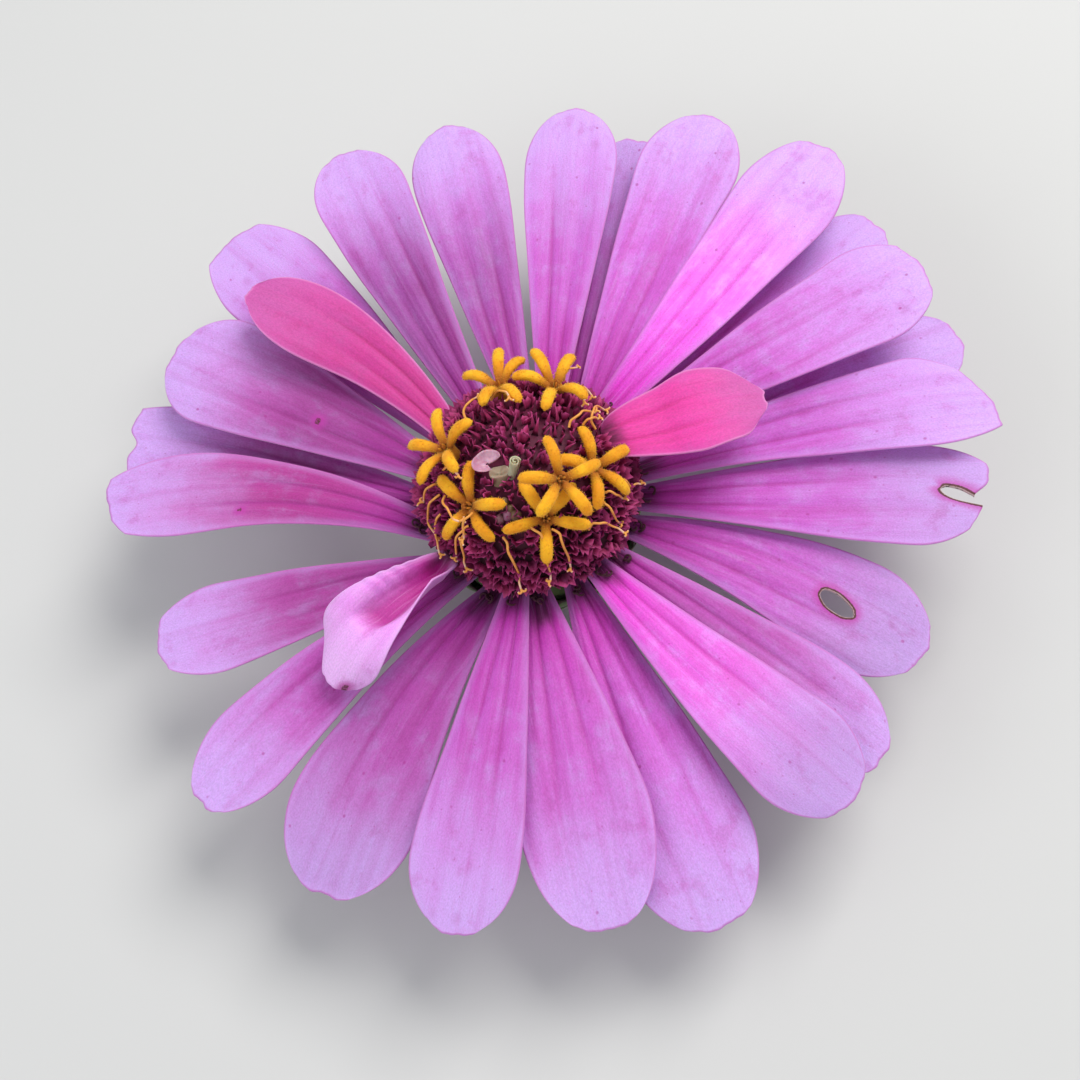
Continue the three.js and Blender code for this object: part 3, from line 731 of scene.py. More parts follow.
def paint_flecks(tree, read, paint, colour):
    """Blotches, flecks and specks: only some of the Voronoi cells hold one."""
    for closeness, reach, bare, strength in FLECKS:
        cells = stretch(tree, read.place, (closeness, closeness * 1.25, 1.0))
        spots = add(tree, "ShaderNodeTexVoronoi", {"Vector": cells, "Scale": 1.0}).outputs
        chosen = maths(tree, "GREATER_THAN", parts_of(tree, spots["Color"])[0], bare)
        inside = soft_step(tree, spots["Distance"], reach, reach * 0.3)
        fleck = times(tree, times(tree, inside, chosen), paint["Flecks"])
        colour = mix(tree, times(tree, fleck, strength), colour, FLECK_COLOUR)
    return colour


def paint_margin(tree, read, paint, colour):
    """A painted highlight as a pale band inside the margin, a thin rosy line on it, and the dull under face.
    """
    # painted highlight: a pale band just inside the margin, where the edge catches the light
    colour = mix(tree, soft_step(tree, read.edge, 0.9, 0.2, 0.0, 0.25), colour, paint["Tip"])
    colour = mix(tree, soft_step(tree, read.edge, 0.26, 0.05, 0.0, 0.55), colour, paint["Margin"])
    under = maths(tree, "SUBTRACT", 1.0, read.upper)
    return mix(tree, times(tree, under, 0.72), colour, paint["Underside"])


def paint_chewed(tree, read, paint, colour):
    """Chewed places: a rosy stain, a dry brown line and a pale lip, all a little ragged."""
    ragged = maths(tree, "ADD", read.chewed, centred(tree, read.cells, 0.12))
    colour = mix(tree, soft_step(tree, ragged, 1.1, 0.15, 0.0, 0.75), colour, paint["Vein"])
    colour = mix(tree, soft_step(tree, ragged, 0.26, 0.18), colour, RIM_BROWN)
    return mix(tree, soft_step(tree, ragged, 0.06, 0.02), colour, RIM_LIP)


print("kinds of flecks:", len(FLECKS))

# %% The petal paint group
def petal_paint():
    colours = ("Tip", "Middle", "Blush", "Base", "Vein", "Margin", "Underside")
    inputs = [(name, COLOUR, (0.5, 0.5, 0.5, 1)) for name in colours] + [("Flecks", NUMBER, 1.0)]
    outputs = [("Color", COLOUR), ("Roughness", NUMBER), ("Height", NUMBER)]
    group, paint, leave = effect_group("petal paint", inputs, outputs)
    read = petal_readings(group)
    colour = paint_ground(group, read, paint)
    colour = paint_streaks(group, read, paint, colour)
    colour = paint_grain_and_light(group, read, colour)
    for layer in (paint_flecks, paint_margin, paint_chewed):
        colour = layer(group, read, paint, colour)
    roughness = straight_step(group, read.streaks, 0.3, 0.7, 0.50, 0.64)
    height = maths(group, "ADD", read.streaks, times(group, read.cells, 0.55))
    for label, value in (("Color", colour), ("Roughness", roughness), ("Height", height)):
        group.links.new(value, leave[label])
    return group


PETAL_PAINT = petal_paint()
print("petal paint nodes:", len(PETAL_PAINT.nodes))

# %% Finishes of the petals
def petal_finish(name, **colours):
    material, tree, shader = new_finish(
        name, Subsurface_Weight=0.22, Subsurface_Scale=0.0012, Subsurface_Radius=(1.0, 0.35, 0.7),
        Sheen_Weight=0.13, Sheen_Roughness=0.45, Sheen_Tint=(1.0, 0.80, 1.0, 1), Specular_IOR_Level=0.30)
    paint = use_group(tree, PETAL_PAINT, **colours)
    connect(tree, shader, paint["Color"], paint["Height"], 0.05, paint["Roughness"])
    return material


RAY_FINISH = petal_finish(
    "ray_petal_lilac", Tip=(0.61, 0.37, 0.82), Middle=(0.62, 0.130, 0.63), Blush=(0.58, 0.045, 0.34),
    Base=(0.58, 0.030, 0.46), Vein=(0.46, 0.035, 0.34), Margin=(0.55, 0.14, 0.46),
    Underside=(0.58, 0.34, 0.62), Flecks=1.0)
YOUNG_FINISH = petal_finish(
    "young_petal_rose", Tip=(0.56, 0.10, 0.38), Middle=(0.68, 0.050, 0.34), Base=(0.70, 0.040, 0.32),
    Vein=(0.54, 0.03, 0.22), Margin=(0.74, 0.28, 0.58), Underside=(0.68, 0.30, 0.56), Flecks=0.5)
# The curled ray's tip colour is its own pale lilac made paler still, painted light on the drooping end that
# faces away from the lamps; its vein colour is the deep magenta of the channel's painted shade.
CURLED_FINISH = petal_finish(
    "curled_petal_lilac", Tip=(0.92, 0.52, 0.99), Middle=(0.84, 0.32, 0.88), Base=(0.56, 0.03, 0.38),
    Vein=(0.42, 0.008, 0.24), Margin=(0.80, 0.40, 0.84), Underside=(0.62, 0.28, 0.64), Flecks=0.4)
print("petal finishes:", [finish.name for finish in (RAY_FINISH, YOUNG_FINISH, CURLED_FINISH)])

# %% [markdown]
# ## Ray petals
# A ray leaves the head as a narrow claw, widens evenly and ends broad and round. Its midrib is one arched
# curve, and the blade curls up to both sides of it. Three ribs run along it with grooves between them, deep
# near the head and gone near the tip. Because all of this follows a rule, the petal is a grid of points
# computed from two numbers, how far along and how far across, which also makes the marks for the paint
# exact.

# %% The rule of a ray petal
CLEAR = 0.3                      # gap between neighbouring pieces
NECK_RADIUS = 8.3                # where the claws end against the head
CLAW_WIDTH = 2.0
CLAW_BASE = 14.4                 # height of the lowest layer of claws
LAYER_PITCH = 1.0
TIP_START, TIP_POWER = 0.12, 2.6    # the tip rounds off from this far before the widest place, this squarely


def midrib(ray, t):
    """Points and directions of the midrib."""
    foot = polar(ray.get("root", NECK_RADIUS + CLEAR), ray["claw"], CLAW_BASE + LAYER_PITCH * ray["layer"])
    tip = polar(ray["reach"], ray["tip"], foot[2] + ray["rise"])
    chord = tip - foot
    left = unit((-chord[1], chord[0], 0))
    middle = foot + chord / 2 + left * 2 * ray["bow"] + UP * 2 * ray["arch"]
    outward = polar(1.0, ray["claw"], 0.0)
    first = unit((middle - foot) * (1, 1, 0))
    foot = foot + outward * CLAW_WIDTH / 2 * np.linalg.norm(np.cross(outward, first))
    t = np.asarray(t, float)[:, None]
    point = (1 - t) ** 2 * foot + 2 * t * (1 - t) * middle + t ** 2 * tip
    return point, unit((1 - t) * (middle - foot) + t * (tip - middle))


def half_width(ray, t):
    s = np.clip(t / ray["wide"], 0, 1)
    claw = CLAW_WIDTH / ray["width"]
    body = claw + (1 - claw) * ((7 * s - s ** 7) / 6) ** ray.get("full", 1)
    start = ray["wide"] - TIP_START
    end = np.clip((t - start) / (1 - start), 0, 1)
    return ray["width"] / 2 * body * np.sqrt(1 - (1 - ray["blunt"] ** 2) * end ** TIP_POWER)


def ray_length(ray):
    point, _ = midrib(ray, np.linspace(0, 1, 20))
    return np.linalg.norm(np.diff(point, axis=0), axis=1).sum()


def lead(ray, t):
    """How far a ray's foot stands off the rule's place. The shift fades out along the ray."""
    return (1 - smooth(0.0, 0.35, t))[:, None] * np.array(ray.get("lead", (0, 0, 0)))


print("rays leave the head at heights", [CLAW_BASE + LAYER_PITCH * k for k in range(3)], "mm")

# %% [markdown]
# ### Relief of the blade
# Close up, a ray is never a plain curved sheet. Ribs and grooves run along it, it swells and wrinkles a
# little, and its margins wave. Each of these is one line that adds to a height above the plain blade, so
# every one can be made stronger or weaker by itself. The curled young ray has a deep channel too, with
# creases in its wall.

# %% Grooves and waves
GROOVES = (                      # place across the petal, -1 to 1, and depth in millimetres
    (-0.66, 0.05), (-0.34, 0.15), (0.02, 0.05), (0.33, 0.15), (0.65, 0.05),
)
GROOVE_WIDTH = 0.06
DEEPEST = max(depth for _, depth in GROOVES)
WRINKLE, SWELL, MARGIN_WAVE = 0.008, 0.20, 0.30    # heights in millimetres


def add_grooves(look, t, v, height):
    """Furrows between the ribs, and how deep in one of them each point is."""
    groove = np.zeros_like(t)
    for (place, depth), phase, reach in zip(GROOVES, look["phases"], look["reaches"]):
        centre = place + 0.02 * np.sin(7 * t + phase)
        fade = smooth(0.0, 0.10, t) * (1 - smooth(reach - 0.35, reach, t))
        line = np.exp(-((v - centre) / GROOVE_WIDTH) ** 2) * fade
        height = height - depth * line
        groove = groove + line * depth / DEEPEST
    return height, groove


def add_waves(look, t, v, height):
    """Fine wrinkles near the head, a swell along the middle and a wave along each margin."""
    a, b, c, d = look["waves"]
    height = height + WRINKLE * np.sin(30 * v + 2 * np.sin(3 * t + a)) * (1 - t)
    height = height + SWELL * np.sin(6.5 * t + b) * (1 - v * v) * smooth(0.15, 0.5, t) * look["lively"]
    side = np.where(v < 0, c, d)
    wave = MARGIN_WAVE * np.abs(v) ** 3 * smooth(0.2, 0.8, t) * np.sin(9.5 * t + side) * look["lively"]
    return height + wave


print("grooves across each petal:", len(GROOVES), "the deepest in mm:", DEEPEST)

# %% Creases, and the whole relief
RIB_HEIGHT, RIB_CREST = 0.20, 0.05    # millimetres, fading from the claw outwards, and along the middle


def add_creases(ray, t, v, height, groove):
    """The channel of the curled ray, which moves across it and narrows, with creases in its wall. The channel
    counts as a deep groove, so the paint fills it with painted shade.
    """
    wall = smooth(-0.10, -0.45, v) * smooth(0.15, 0.30, t) * (1 - smooth(0.42, 0.55, t))
    height = height + ray["creases"] * wall * np.sin(80 * t + 4 * v)
    centre = 0.24 - 0.30 * smooth(0.35, 0.68, t)
    spread = 0.60 - 0.28 * smooth(0.35, 0.68, t)
    channel = np.exp(-((v - centre) / spread) ** 4) * smooth(0.0, 0.10, t) * (1 - smooth(0.54, 0.70, t))
    return height - ray["channel"] * channel, groove * 0.2 + 1.5 * channel


def relief(ray, look, t, v):
    """Height above the plain curved blade, and how deep in a groove each point is."""
    ribs = 1 - np.cos(3 * np.pi * (v + 1))
    height = RIB_HEIGHT * np.clip(t / 0.15, 0, 1) * (1 - t) * ribs / 2
    height, groove = add_grooves(look, t, v, height)
    height = height + RIB_CREST * smooth(0.1, 0.4, t) * (1 - smooth(0.75, 1.0, t)) * ribs
    height = add_waves(look, t, v, height)
    if "creases" in ray:
        height, groove = add_creases(ray, t, v, height, groove)
    return height, np.clip(groove, 0, 1.5)


print("the ribs rise in mm:", RIB_HEIGHT)

# %% The surface of a petal
TIP_CROWN = 1.0                  # how far the middle of a tip stands ahead of its corners
DROOP_START = 0.55               # a drooping tip bends down from here on
LEAST_CURL = 1e-3                # radians; a flatter blade counts as this much curled


def ray_surface(ray, look, t, v):
    """Place, normal and groove depth at each point of a petal's middle surface."""
    point, along = midrib(ray, t)
    left = unit(np.cross(UP, along))
    up = np.cross(along, left)
    ripple = 1 + 0.012 * np.sin(19 * t + look["waves"][0]) * t
    half = (half_width(ray, t) * ripple)[:, None]
    cup_tip = ray.get("cup_tip", 0.4 * ray["cup"])
    curl = np.radians(ray["cup"] + (cup_tip - ray["cup"]) * t) * np.clip(t / 0.2, 0, 1)
    bend = np.where(np.abs(curl) < LEAST_CURL, LEAST_CURL, curl)[:, None]
    height, groove = relief(ray, look, t, v)
    v = v[:, None]
    sideways = half * np.sin(bend * v) / bend
    raised = half * (1 - np.cos(bend * v)) / bend + height[:, None]
    end = smooth(0.72, 1.0, t)[:, None]
    ragged = 0.10 * np.sin(6 * v + look["waves"][1]) + 0.03 * np.sin(17 * v + look["waves"][2])
    notch = (ray.get("notch", 0) + look["notch"]) * np.exp(-(v / 0.25) ** 2)
    ahead = end * (ray.get("skew", 0) * v - TIP_CROWN * v * v - notch) + end ** 4 * ragged
    drop = ray.get("droop", 0) * np.clip((t - DROOP_START) / (1 - DROOP_START), 0, 1)[:, None] ** 2
    place = point + lead(ray, t) + left * sideways + up * raised + along * ahead - UP * drop
    normal = up * np.cos(bend * v) - left * np.sin(bend * v)
    return place, normal, groove


print("a tip's middle stands ahead of its corners by", TIP_CROWN, "mm")

# %% [markdown]
# ### Chewed places
# One petal has an oval hole and another a bite in its tip. A Boolean cut would leave the marks at the cut
# undefined, so the hole is made in the grid itself: faces inside the oval are left out, and the corners
# next to it slide onto its slightly ragged outline. The open edges of the upper and lower face are then
# joined by a thin wall, at the hole as along the margin. A stain, such as the brown speck at the end of the
# curled ray, is a short streak that only the paint sees.

# %% Measuring from a chewed place
def chew_outline(chew, x, y):
    """Distance in millimetres from the ragged oval, and the factor that moves a point onto it."""
    a, b = chew["length"] / 2, chew["width"] / 2
    angle = np.arctan2(y / b, x / a)
    ragged = 1 + 0.03 * np.sin(3 * angle + 1) + 0.015 * np.sin(7 * angle + 2)
    reach = np.maximum(np.hypot(x / a, y / b), 1e-6)
    slope = np.maximum(np.hypot(x / a ** 2, y / b ** 2), 1e-6) / reach
    return (reach - ragged) / slope, ragged / reach


def stain_distance(stain, x, y):
    """Distance in millimetres from a short streak with round ends."""
    radius = stain["width"] / 2
    beyond = np.maximum(np.abs(x) - (stain["length"] / 2 - radius), 0)
    return np.hypot(beyond, y) - radius


def to_chew(ray, chew, t, v):
    """From shares of a petal to millimetres along and across a chewed place."""
    turn = np.radians(chew["turn"])
    along = (t - chew["along"]) * ray_length(ray)
    across = (v - chew["across"]) * half_width(ray, t)
    return np.cos(turn) * along + np.sin(turn) * across, np.cos(turn) * across - np.sin(turn) * along


def from_chew(ray, chew, x, y):
    """And back."""
    turn = np.radians(chew["turn"])
    along = np.cos(turn) * x - np.sin(turn) * y
    across = np.sin(turn) * x + np.cos(turn) * y
    t = chew["along"] + along / ray_length(ray)
    return t, chew["across"] + across / half_width(ray, np.clip(t, 0, 1))


streak = {"length": 0.4, "width": 0.2}
print("1 mm beside a narrow streak, the distance in mm is", stain_distance(streak, 0.0, 1.0))

# %% Chewing a hole into the grid
def chew_grid(ray, chew, t, v, quads):
    """Leaves out the faces in the hole and slides the corners beside it onto its outline."""
    x, y = to_chew(ray, chew, t, v)
    distance, factor = chew_outline(chew, x, y)
    inside = distance < 0
    quads = quads[~inside[quads].all(axis=1)]
    slide = inside & np.isin(np.arange(len(t)), quads)
    at_tip = slide & (t > 0.999)
    a, b = chew["length"] / 2, chew["width"] / 2
    spread = np.sign(y) * b * np.sqrt(np.clip(1 - (x / a) ** 2, 0, 1))
    new_t, new_v = from_chew(ray, chew, x * factor, y * factor)
    _, tip_v = from_chew(ray, chew, x, spread)
    t = np.where(slide & ~at_tip, np.clip(new_t, 0, 1), t)
    v = np.where(slide, np.where(at_tip, tip_v, new_v), v)
    return t, np.clip(v, -1, 1), quads


steps = (to_chew, chew_outline, from_chew, chew_grid)
print("steps of chewing a petal:", ", ".join(step.__name__ for step in steps))

# %% What a petal's paint reads
FAR_OFF = 9.0                    # millimetres from a chewed place, for a petal that has none
STAIN_FLOOR = 0.20               # a stain's distance ends here, so it has no pale lip
SEED_SHIFT = 7.3                 # moves the noises on from one petal to the next


def chewed_distance(ray, t, v):
    """Millimetres from the nearest hole, bite or stain."""
    distance = np.full(len(t), FAR_OFF)
    if "chew" in ray:
        distance, _ = chew_outline(ray["chew"], *to_chew(ray, ray["chew"], t, v))
    for stain in ray.get("stains", ()):
        spot = stain_distance(stain, *to_chew(ray, stain, t, v))
        distance = np.minimum(distance, np.maximum(spot, STAIN_FLOOR))
    return distance


def petal_marks(ray, seed, t, v, groove):
    """The marks of each point, for the upper face and then for the under face."""
    count, length, width = len(t), ray_length(ray), half_width(ray, t)
    edge = np.minimum((1 - np.abs(v)) * width, (1 - t) * length * 0.9)
    outer = smooth(0.45, 0.9, t)
    marks = {
        "petal_mm": np.column_stack((t * length, v * width, np.full(count, SEED_SHIFT * seed))),
        "petal_at": np.column_stack((t, v, np.ones(count))),
        "petal_marks": np.column_stack((groove, edge, chewed_distance(ray, t, v))),
        "blush": np.full(count, ray["blush"]),
        # painted light and shade of the whole petal, with a share of its own on the outer part
        "light": 1 + (ray["light"] - 1) * (1 - 0.9 * outer) + (ray.get("tip_light", 1) - 1) * outer,
    }
    marks = {label: both(values) for label, values in marks.items()}
    marks["petal_at"][count:, 2] = 0
    return marks


print("distance that counts as unchewed, in mm:", FAR_OFF)

# %% The petal mesh
ROWS, COLUMNS = 96, 56
BLADE_MIDDLE, BLADE_MARGIN, CLAW_THICK = 0.46, 0.16, 0.60    # thicknesses in millimetres


def petal_look(seed):
    """What differs from petal to petal by chance."""
    draw = np.random.default_rng(seed)
    return {
        "phases": draw.uniform(*ANY_PHASE, len(GROOVES)), "reaches": draw.uniform(0.55, 0.92, len(GROOVES)),
        "waves": draw.uniform(*ANY_PHASE, 4), "lively": draw.uniform(0.6, 1.0),
        "notch": draw.uniform(-0.10, 0.20),
    }


def petal_grid(ray):
    """How far along and across each grid point is, closer together at the tip, and the faces between them."""
    rows = np.linspace(0, 1, ROWS + 1)
    t, v = grid_of(rows * (1.35 - 0.35 * rows), np.linspace(-1, 1, COLUMNS + 1))
    quads = grid_faces(ROWS + 1, COLUMNS + 1)
    return chew_grid(ray, ray["chew"], t, v, quads) if "chew" in ray else (t, v, quads)


def petal_thickness(t, v):
    """Thickest along the middle and at the claw, thinnest at the margin."""
    thick = BLADE_MARGIN + (BLADE_MIDDLE - BLADE_MARGIN) * (1 - np.abs(v) ** 2.5) * (1 - 0.5 * t ** 6)
    return thick + (CLAW_THICK - BLADE_MIDDLE) * (1 - smooth(0.0, 0.15, t))


def petal_mesh(name, ray, seed, material):
    t, v, quads = petal_grid(ray)
    place, normal, groove = ray_surface(ray, petal_look(seed), t, v)
    half = petal_thickness(t, v)[:, None] / 2
    points = np.concatenate((place + normal * half, place - normal * half))
    faces = close_sheet(quads, len(t))
    used = np.unique(faces)
    renumber = np.zeros(len(points), int)
    renumber[used] = np.arange(len(used))
    marks = {label: values[used] for label, values in petal_marks(ray, seed, t, v, groove).items()}
    return new_mesh(name, points[used], renumber[faces], material, marks)


print("points in one petal:", 2 * (ROWS + 1) * (COLUMNS + 1))

# %% [markdown]
# ### Every ray of the bloom
# No two petals are alike, so they are a table, and its azimuths, lengths and bends are those of the solids.
# A row says where the claw and the tip point in degrees, how far the tip reaches, how the midrib bows to
# the left, how wide the petal is, where along it that is and how blunt the tip is against it, which layer
# it is in, how far its tip rises and its middle arches, and how its edges curl up. Blush runs from lilac at
# 0 to rose at 1, partly the petal's own colour and partly painted reddish light bounced between shaded
# petals. Light is painted light and shade that makes the whole petal paler or darker, 1 being the usual.
# The grooves and the small waves come from a seeded draw.

# %% The table of the outer rays
RAY_FIELDS = (
    "claw", "tip", "reach", "bow", "width", "wide", "blunt", "layer", "rise", "arch", "cup", "blush", "light")
OUTER_RAYS = (
    (6, 5.5, 47.4, 0, 11.0, 0.85, 0.50, 0, -1.0, 0.3, 4, 0.1, 1.0),
    (19, 12.5, 45.4, 0, 11.2, 0.90, 0.60, 2, 4.0, 1.0, 8, 0.1, 1.0),
    (26, 24, 48.0, 0, 10.5, 0.85, 0.50, 0, 0.5, 0.3, 6, 0.1, 1.0),
    (36, 34, 49.0, -0.8, 11.0, 0.86, 0.50, 2, 3.5, 1.0, 12, 0.1, 1.5),
    (42, 50, 48.0, 0, 11.0, 0.88, 0.50, 1, 3.0, 0.8, 14, 0.0, 1.0),
    (54, 59.5, 45.0, 0, 10.0, 0.85, 0.50, 0, 1.5, 0.5, 6, 0.0, 0.68),
    (64, 68, 46.0, 0, 10.4, 0.88, 0.50, 1, 3.5, 0.8, 10, 0.0, 0.9),
    (80, 86.5, 46.5, 0, 10.6, 0.88, 0.50, 0, 3.5, 0.8, 8, 0.0, 0.66),
    (104, 101, 47.5, 0.5, 10.6, 0.90, 0.50, 1, 3.0, 1.0, 14, 0.0, 0.54),
    (122, 120, 48.0, 0, 12.4, 0.86, 0.60, 0, 1.5, 1.0, 6, 0.1, 0.78),
    (145, 138.5, 43.1, 0, 13.2, 0.88, 0.50, 1, 2.0, 1.0, 6, 0.45, 0.58),
    (163, 151.6, 45.4, 0, 10.6, 0.86, 0.80, 0, -0.5, 0.8, 6, 0.35, 0.66),
    (186, 163, 44.5, -2.6, 9.2, 0.82, 0.60, 1, 1.0, 1.2, 12, 0.9, 0.72),
    (204, 183, 41.0, 0, 9.8, 0.86, 0.60, 0, -1.5, 0.8, 10, 0.55, 0.64),
    (214, 206, 44.2, -1.0, 9.8, 0.86, 0.50, 1, -3.0, 1.2, 6, 0.3, 0.8),
    (234, 226, 43.5, -1.5, 13.4, 0.84, 0.50, 0, -3.0, 1.2, 8, 0.3, 0.7),
    (246, 243.8, 43.0, 0.3, 10.8, 0.88, 0.50, 2, -3.5, 1.7, -6, 0.1, 0.88),
    (256, 263.4, 42.5, 0, 12.8, 0.76, 0.50, 1, -3.3, 1.4, 0, 0.1, 0.9),
    (280, 276.5, 45.0, 0, 13.0, 0.84, 0.50, 0, -4.4, 1.4, 2, 0.0, 1.0),
    (293, 298, 42.8, -0.7, 10.8, 0.88, 0.55, 2, -2.5, 1.4, -6, 0.3, 1.3),
    (306, 304.5, 42.3, 0, 10.5, 0.86, 0.50, 1, -2.5, 1.0, 6, 0.2, 0.8),
    (328, 320, 41.0, 1.3, 11.5, 0.84, 0.50, 0, -2.0, 0.9, 6, 0.0, 0.88),
    (343, 342, 44.6, 0, 11.2, 0.86, 0.62, 1, 0.0, 0.6, 8, 0.0, 0.9),
    (355, 354.5, 46.0, 1.0, 10.0, 0.90, 0.70, 2, 1.0, 0.8, 10, 0.0, 0.9),
)
# tip_light below 1 is painted shade on the outer part of a petal
RAY_EXTRAS = {                   # what only some rays have, by number
    6: {"tip_light": 0.92},
    11: {"stains": ({"along": 0.45, "across": 0.18, "length": 0.4, "width": 0.3, "turn": 0},)},
    12: {"skew": -1.0, "notch": 1.0},
    13: {"skew": -0.6, "blunt": 0.72,
         "stains": ({"along": 0.60, "across": 0.54, "length": 0.2, "width": 0.06, "turn": 20},)},
    16: {"tip_light": 0.85},
    20: {"tip_light": 0.82},
    22: {"tip_light": 0.80, "chew": {"along": 0.71, "across": 0.0, "length": 3.9, "width": 1.8, "turn": -12}},
    23: {"skew": 1.0, "notch": 1.4, "tip_light": 0.86,
         "chew": {"along": 0.962, "across": -0.03, "length": 5.4, "width": 1.15, "turn": -19}},
    24: {"skew": -1.8},
}
print("outer rays:", len(OUTER_RAYS), "with something of their own:", len(RAY_EXTRAS))

# %% The table of the young rays
YOUNG_RAYS = (
    (0, -0.5, 24.4, 0, 8.8, 0.55, 0.40, 7.8, 0.7, 1.5, 14, 0.0, 1.1),
    (126, 127, 37.3, -2.0, 8.6, 0.80, 0.40, 2, 5.5, 0.6, 12, 0.0, 0.85),
    (211, 208.5, 27.3, 0, 8.4, 0.80, 0.62, 6, 0.8, 1.6, 115, 0.0, 1.0),
)
YOUNG_EXTRAS = {
    1: {"root": 9.8, "full": 0.5, "lead": (-1.7, 0.0, 1.5)},
    3: {"root": 10.7, "cup_tip": -55, "droop": 3.5, "creases": 0.12, "channel": 1.7,
        "stains": ({"along": 0.99, "across": 0.62, "length": 0.7, "width": 0.02, "turn": 20},)},
}


def petal_rules(rows, extras):
    return [{**dict(zip(RAY_FIELDS, row)), **extras.get(k, {})} for k, row in enumerate(rows, 1)]


RAYS, YOUNG = petal_rules(OUTER_RAYS, RAY_EXTRAS), petal_rules(YOUNG_RAYS, YOUNG_EXTRAS)
print("rays:", len(RAYS), "young rays:", len(YOUNG))

# %% Build the rays
YOUNG_SEEDS = 40                 # seeds of the young rays come after this one


def dress_petal(node, ray, seed, finish, slot):
    dress(f"{node}_petal", petal_mesh(f"{node}_petal", ray, seed, finish), slot, node)


for k, ray in enumerate(RAYS, 1):
    dress_petal(f"ray_{k:02d}", ray, k, RAY_FINISH, "ray_petal")
for k, ray in enumerate(YOUNG, 1):
    finish = CURLED_FINISH if "droop" in ray else YOUNG_FINISH
    dress_petal(f"young_ray_{k}", ray, YOUNG_SEEDS + k, finish, "young_petal")
print("petals:", len(RAYS) + len(YOUNG), "longest in mm:", round(max(ray_length(ray) for ray in RAYS), 1))

# %% [markdown]
# ## The florets' places
# Seven florets on the dome are open stars. Their lobes are worked out before the chaff, because the chaff
# scales have to stay out of their way: each scale is as tall as the room above it allows.

# %% Star floret frames
FLORET_TILT = 28                 # an open floret leans out from the axis, in degrees
LOBE_START, LOBE_LENGTH, LOBE_RADIUS = 0.5, 4.2, 0.61
TUBE_RADIUS = 0.9
STARS = (                        # azimuth, radius and height of the throat, the lobes' directions and lifts
    (90, 7.9, 26.0, (342, 44, 150, 202, 310), (1.1, 0.0, 0.4, -0.3, 0.0)),
    (50, 8.0, 25.8, (60, 2, 106, 252, 192), (1.3, 0.7, 0.0, 0.7, -0.2)),
    (158, 7.2, 26.6, (284, 204, 350, 70, 132), (0.3, 0.7, 0.1, 0.6, 0.5)),
    (209, 6.8, 25.5, (210, 266, 130, 358, 74), (0.2, -0.2, 0.3, -0.8, -0.5)),
    (275, 6.9, 25.5, (192, 262, 338, 58, 120), (0.0, 0.0, 0.0, 0.0, 0.0)),
    (300, 5.8, 28.7, (152, 224, 68, 356, 282), (-0.5, 0.6, -0.6, 0.2, 0.5)),
    (332, 7.2, 25.7, (120, 194, 48, 344, 284), (-0.6, 0.6, -0.4, -0.8, -0.2)),
)


def star_frame(star):
    """Axes as columns (outward, left, floret axis) and the throat's place."""
    azimuth, radius, height = star[:3]
    outward = polar(1.0, azimuth, 0.0)
    tilt = np.radians(FLORET_TILT)
    axis = UP * np.cos(tilt) + outward * np.sin(tilt)
    left = unit(np.cross(axis, outward))
    return np.column_stack((np.cross(left, axis), left, axis)), polar(radius, azimuth, height)


def lobe_line(t, direction, lift):
    """The middle line of a lobe in its floret's own axes."""
    reach = LOBE_START + (LOBE_LENGTH - LOBE_START) * t
    angle = np.radians(direction)
    height = np.sin(np.pi * 0.85 * t) - 0.2 + lift * t
    return np.stack((reach * np.cos(angle), reach * np.sin(angle), height), axis=-1)


print("open florets:", len(STARS))

# %% [markdown]
# ## The chaffy head
# Between the florets stand crimson scales. Each is a little fan with a fringe of teeth, folded lengthwise;
# on the flank they are broad, and on the crown they shrink to small fans and pointed threads. A few made by
# rule are enough: the scatter tree sets hundreds of them over the dome, turned and sized by a seeded draw.
# They stand on two golden-angle spirals, an open one on the flank and a closer one on the crown. Where a
# floret or a claw leaves too little room for a scale, a low fan takes its place or it stays bare.

# %% Finish of the chaff
CHAFF_SHADE = (0.025, 0.003, 0.008)


def chaff_finish():
    material, tree, shader = new_finish(
        "chaff_crimson", Roughness=0.60, Sheen_Weight=0.08, Sheen_Tint=(1.0, 0.45, 0.7, 1),
        Specular_IOR_Level=0.25, Subsurface_Weight=0.08, Subsurface_Scale=0.0006,
        Subsurface_Radius=(1.0, 0.2, 0.4))
    along, tone = attribute(tree, "along")["Fac"], attribute(tree, "tone")["Fac"]
    fine = noise(tree, object_place(tree), 2600.0, 3.0)
    crimson = mix(tree, tone, (0.12, 0.005, 0.045), (0.36, 0.024, 0.11))
    rosy = mix(tree, tone, (0.26, 0.014, 0.11), (0.60, 0.07, 0.26))
    # painted shade: each scale runs to near black at its foot, where the scales shade one another
    colour = mix(tree, soft_step(tree, along, 0.05, 0.50), CHAFF_SHADE, crimson)
    colour = mix(tree, soft_step(tree, along, 0.62, 1.0, 0.0, 0.75), colour, rosy)
    colour = mix(tree, soft_step(tree, fine, 0.45, 0.75, 0.0, 0.45), colour, CHAFF_SHADE)
    connect(tree, shader, colour, fine, 0.05)
    return material


CHAFF_FINISH = chaff_finish()
print("chaff finish:", CHAFF_FINISH.name)

# %% Fringed and pointed scales
FAN_ROWS = ((0.0, 0.28), (0.35, 0.62), (1.0, 1.0))    # height and width of a row against the whole fan
FAN_THICK = 0.05
THREAD_LEVELS = np.array((0.0, 0.4, 0.75, 1.0))


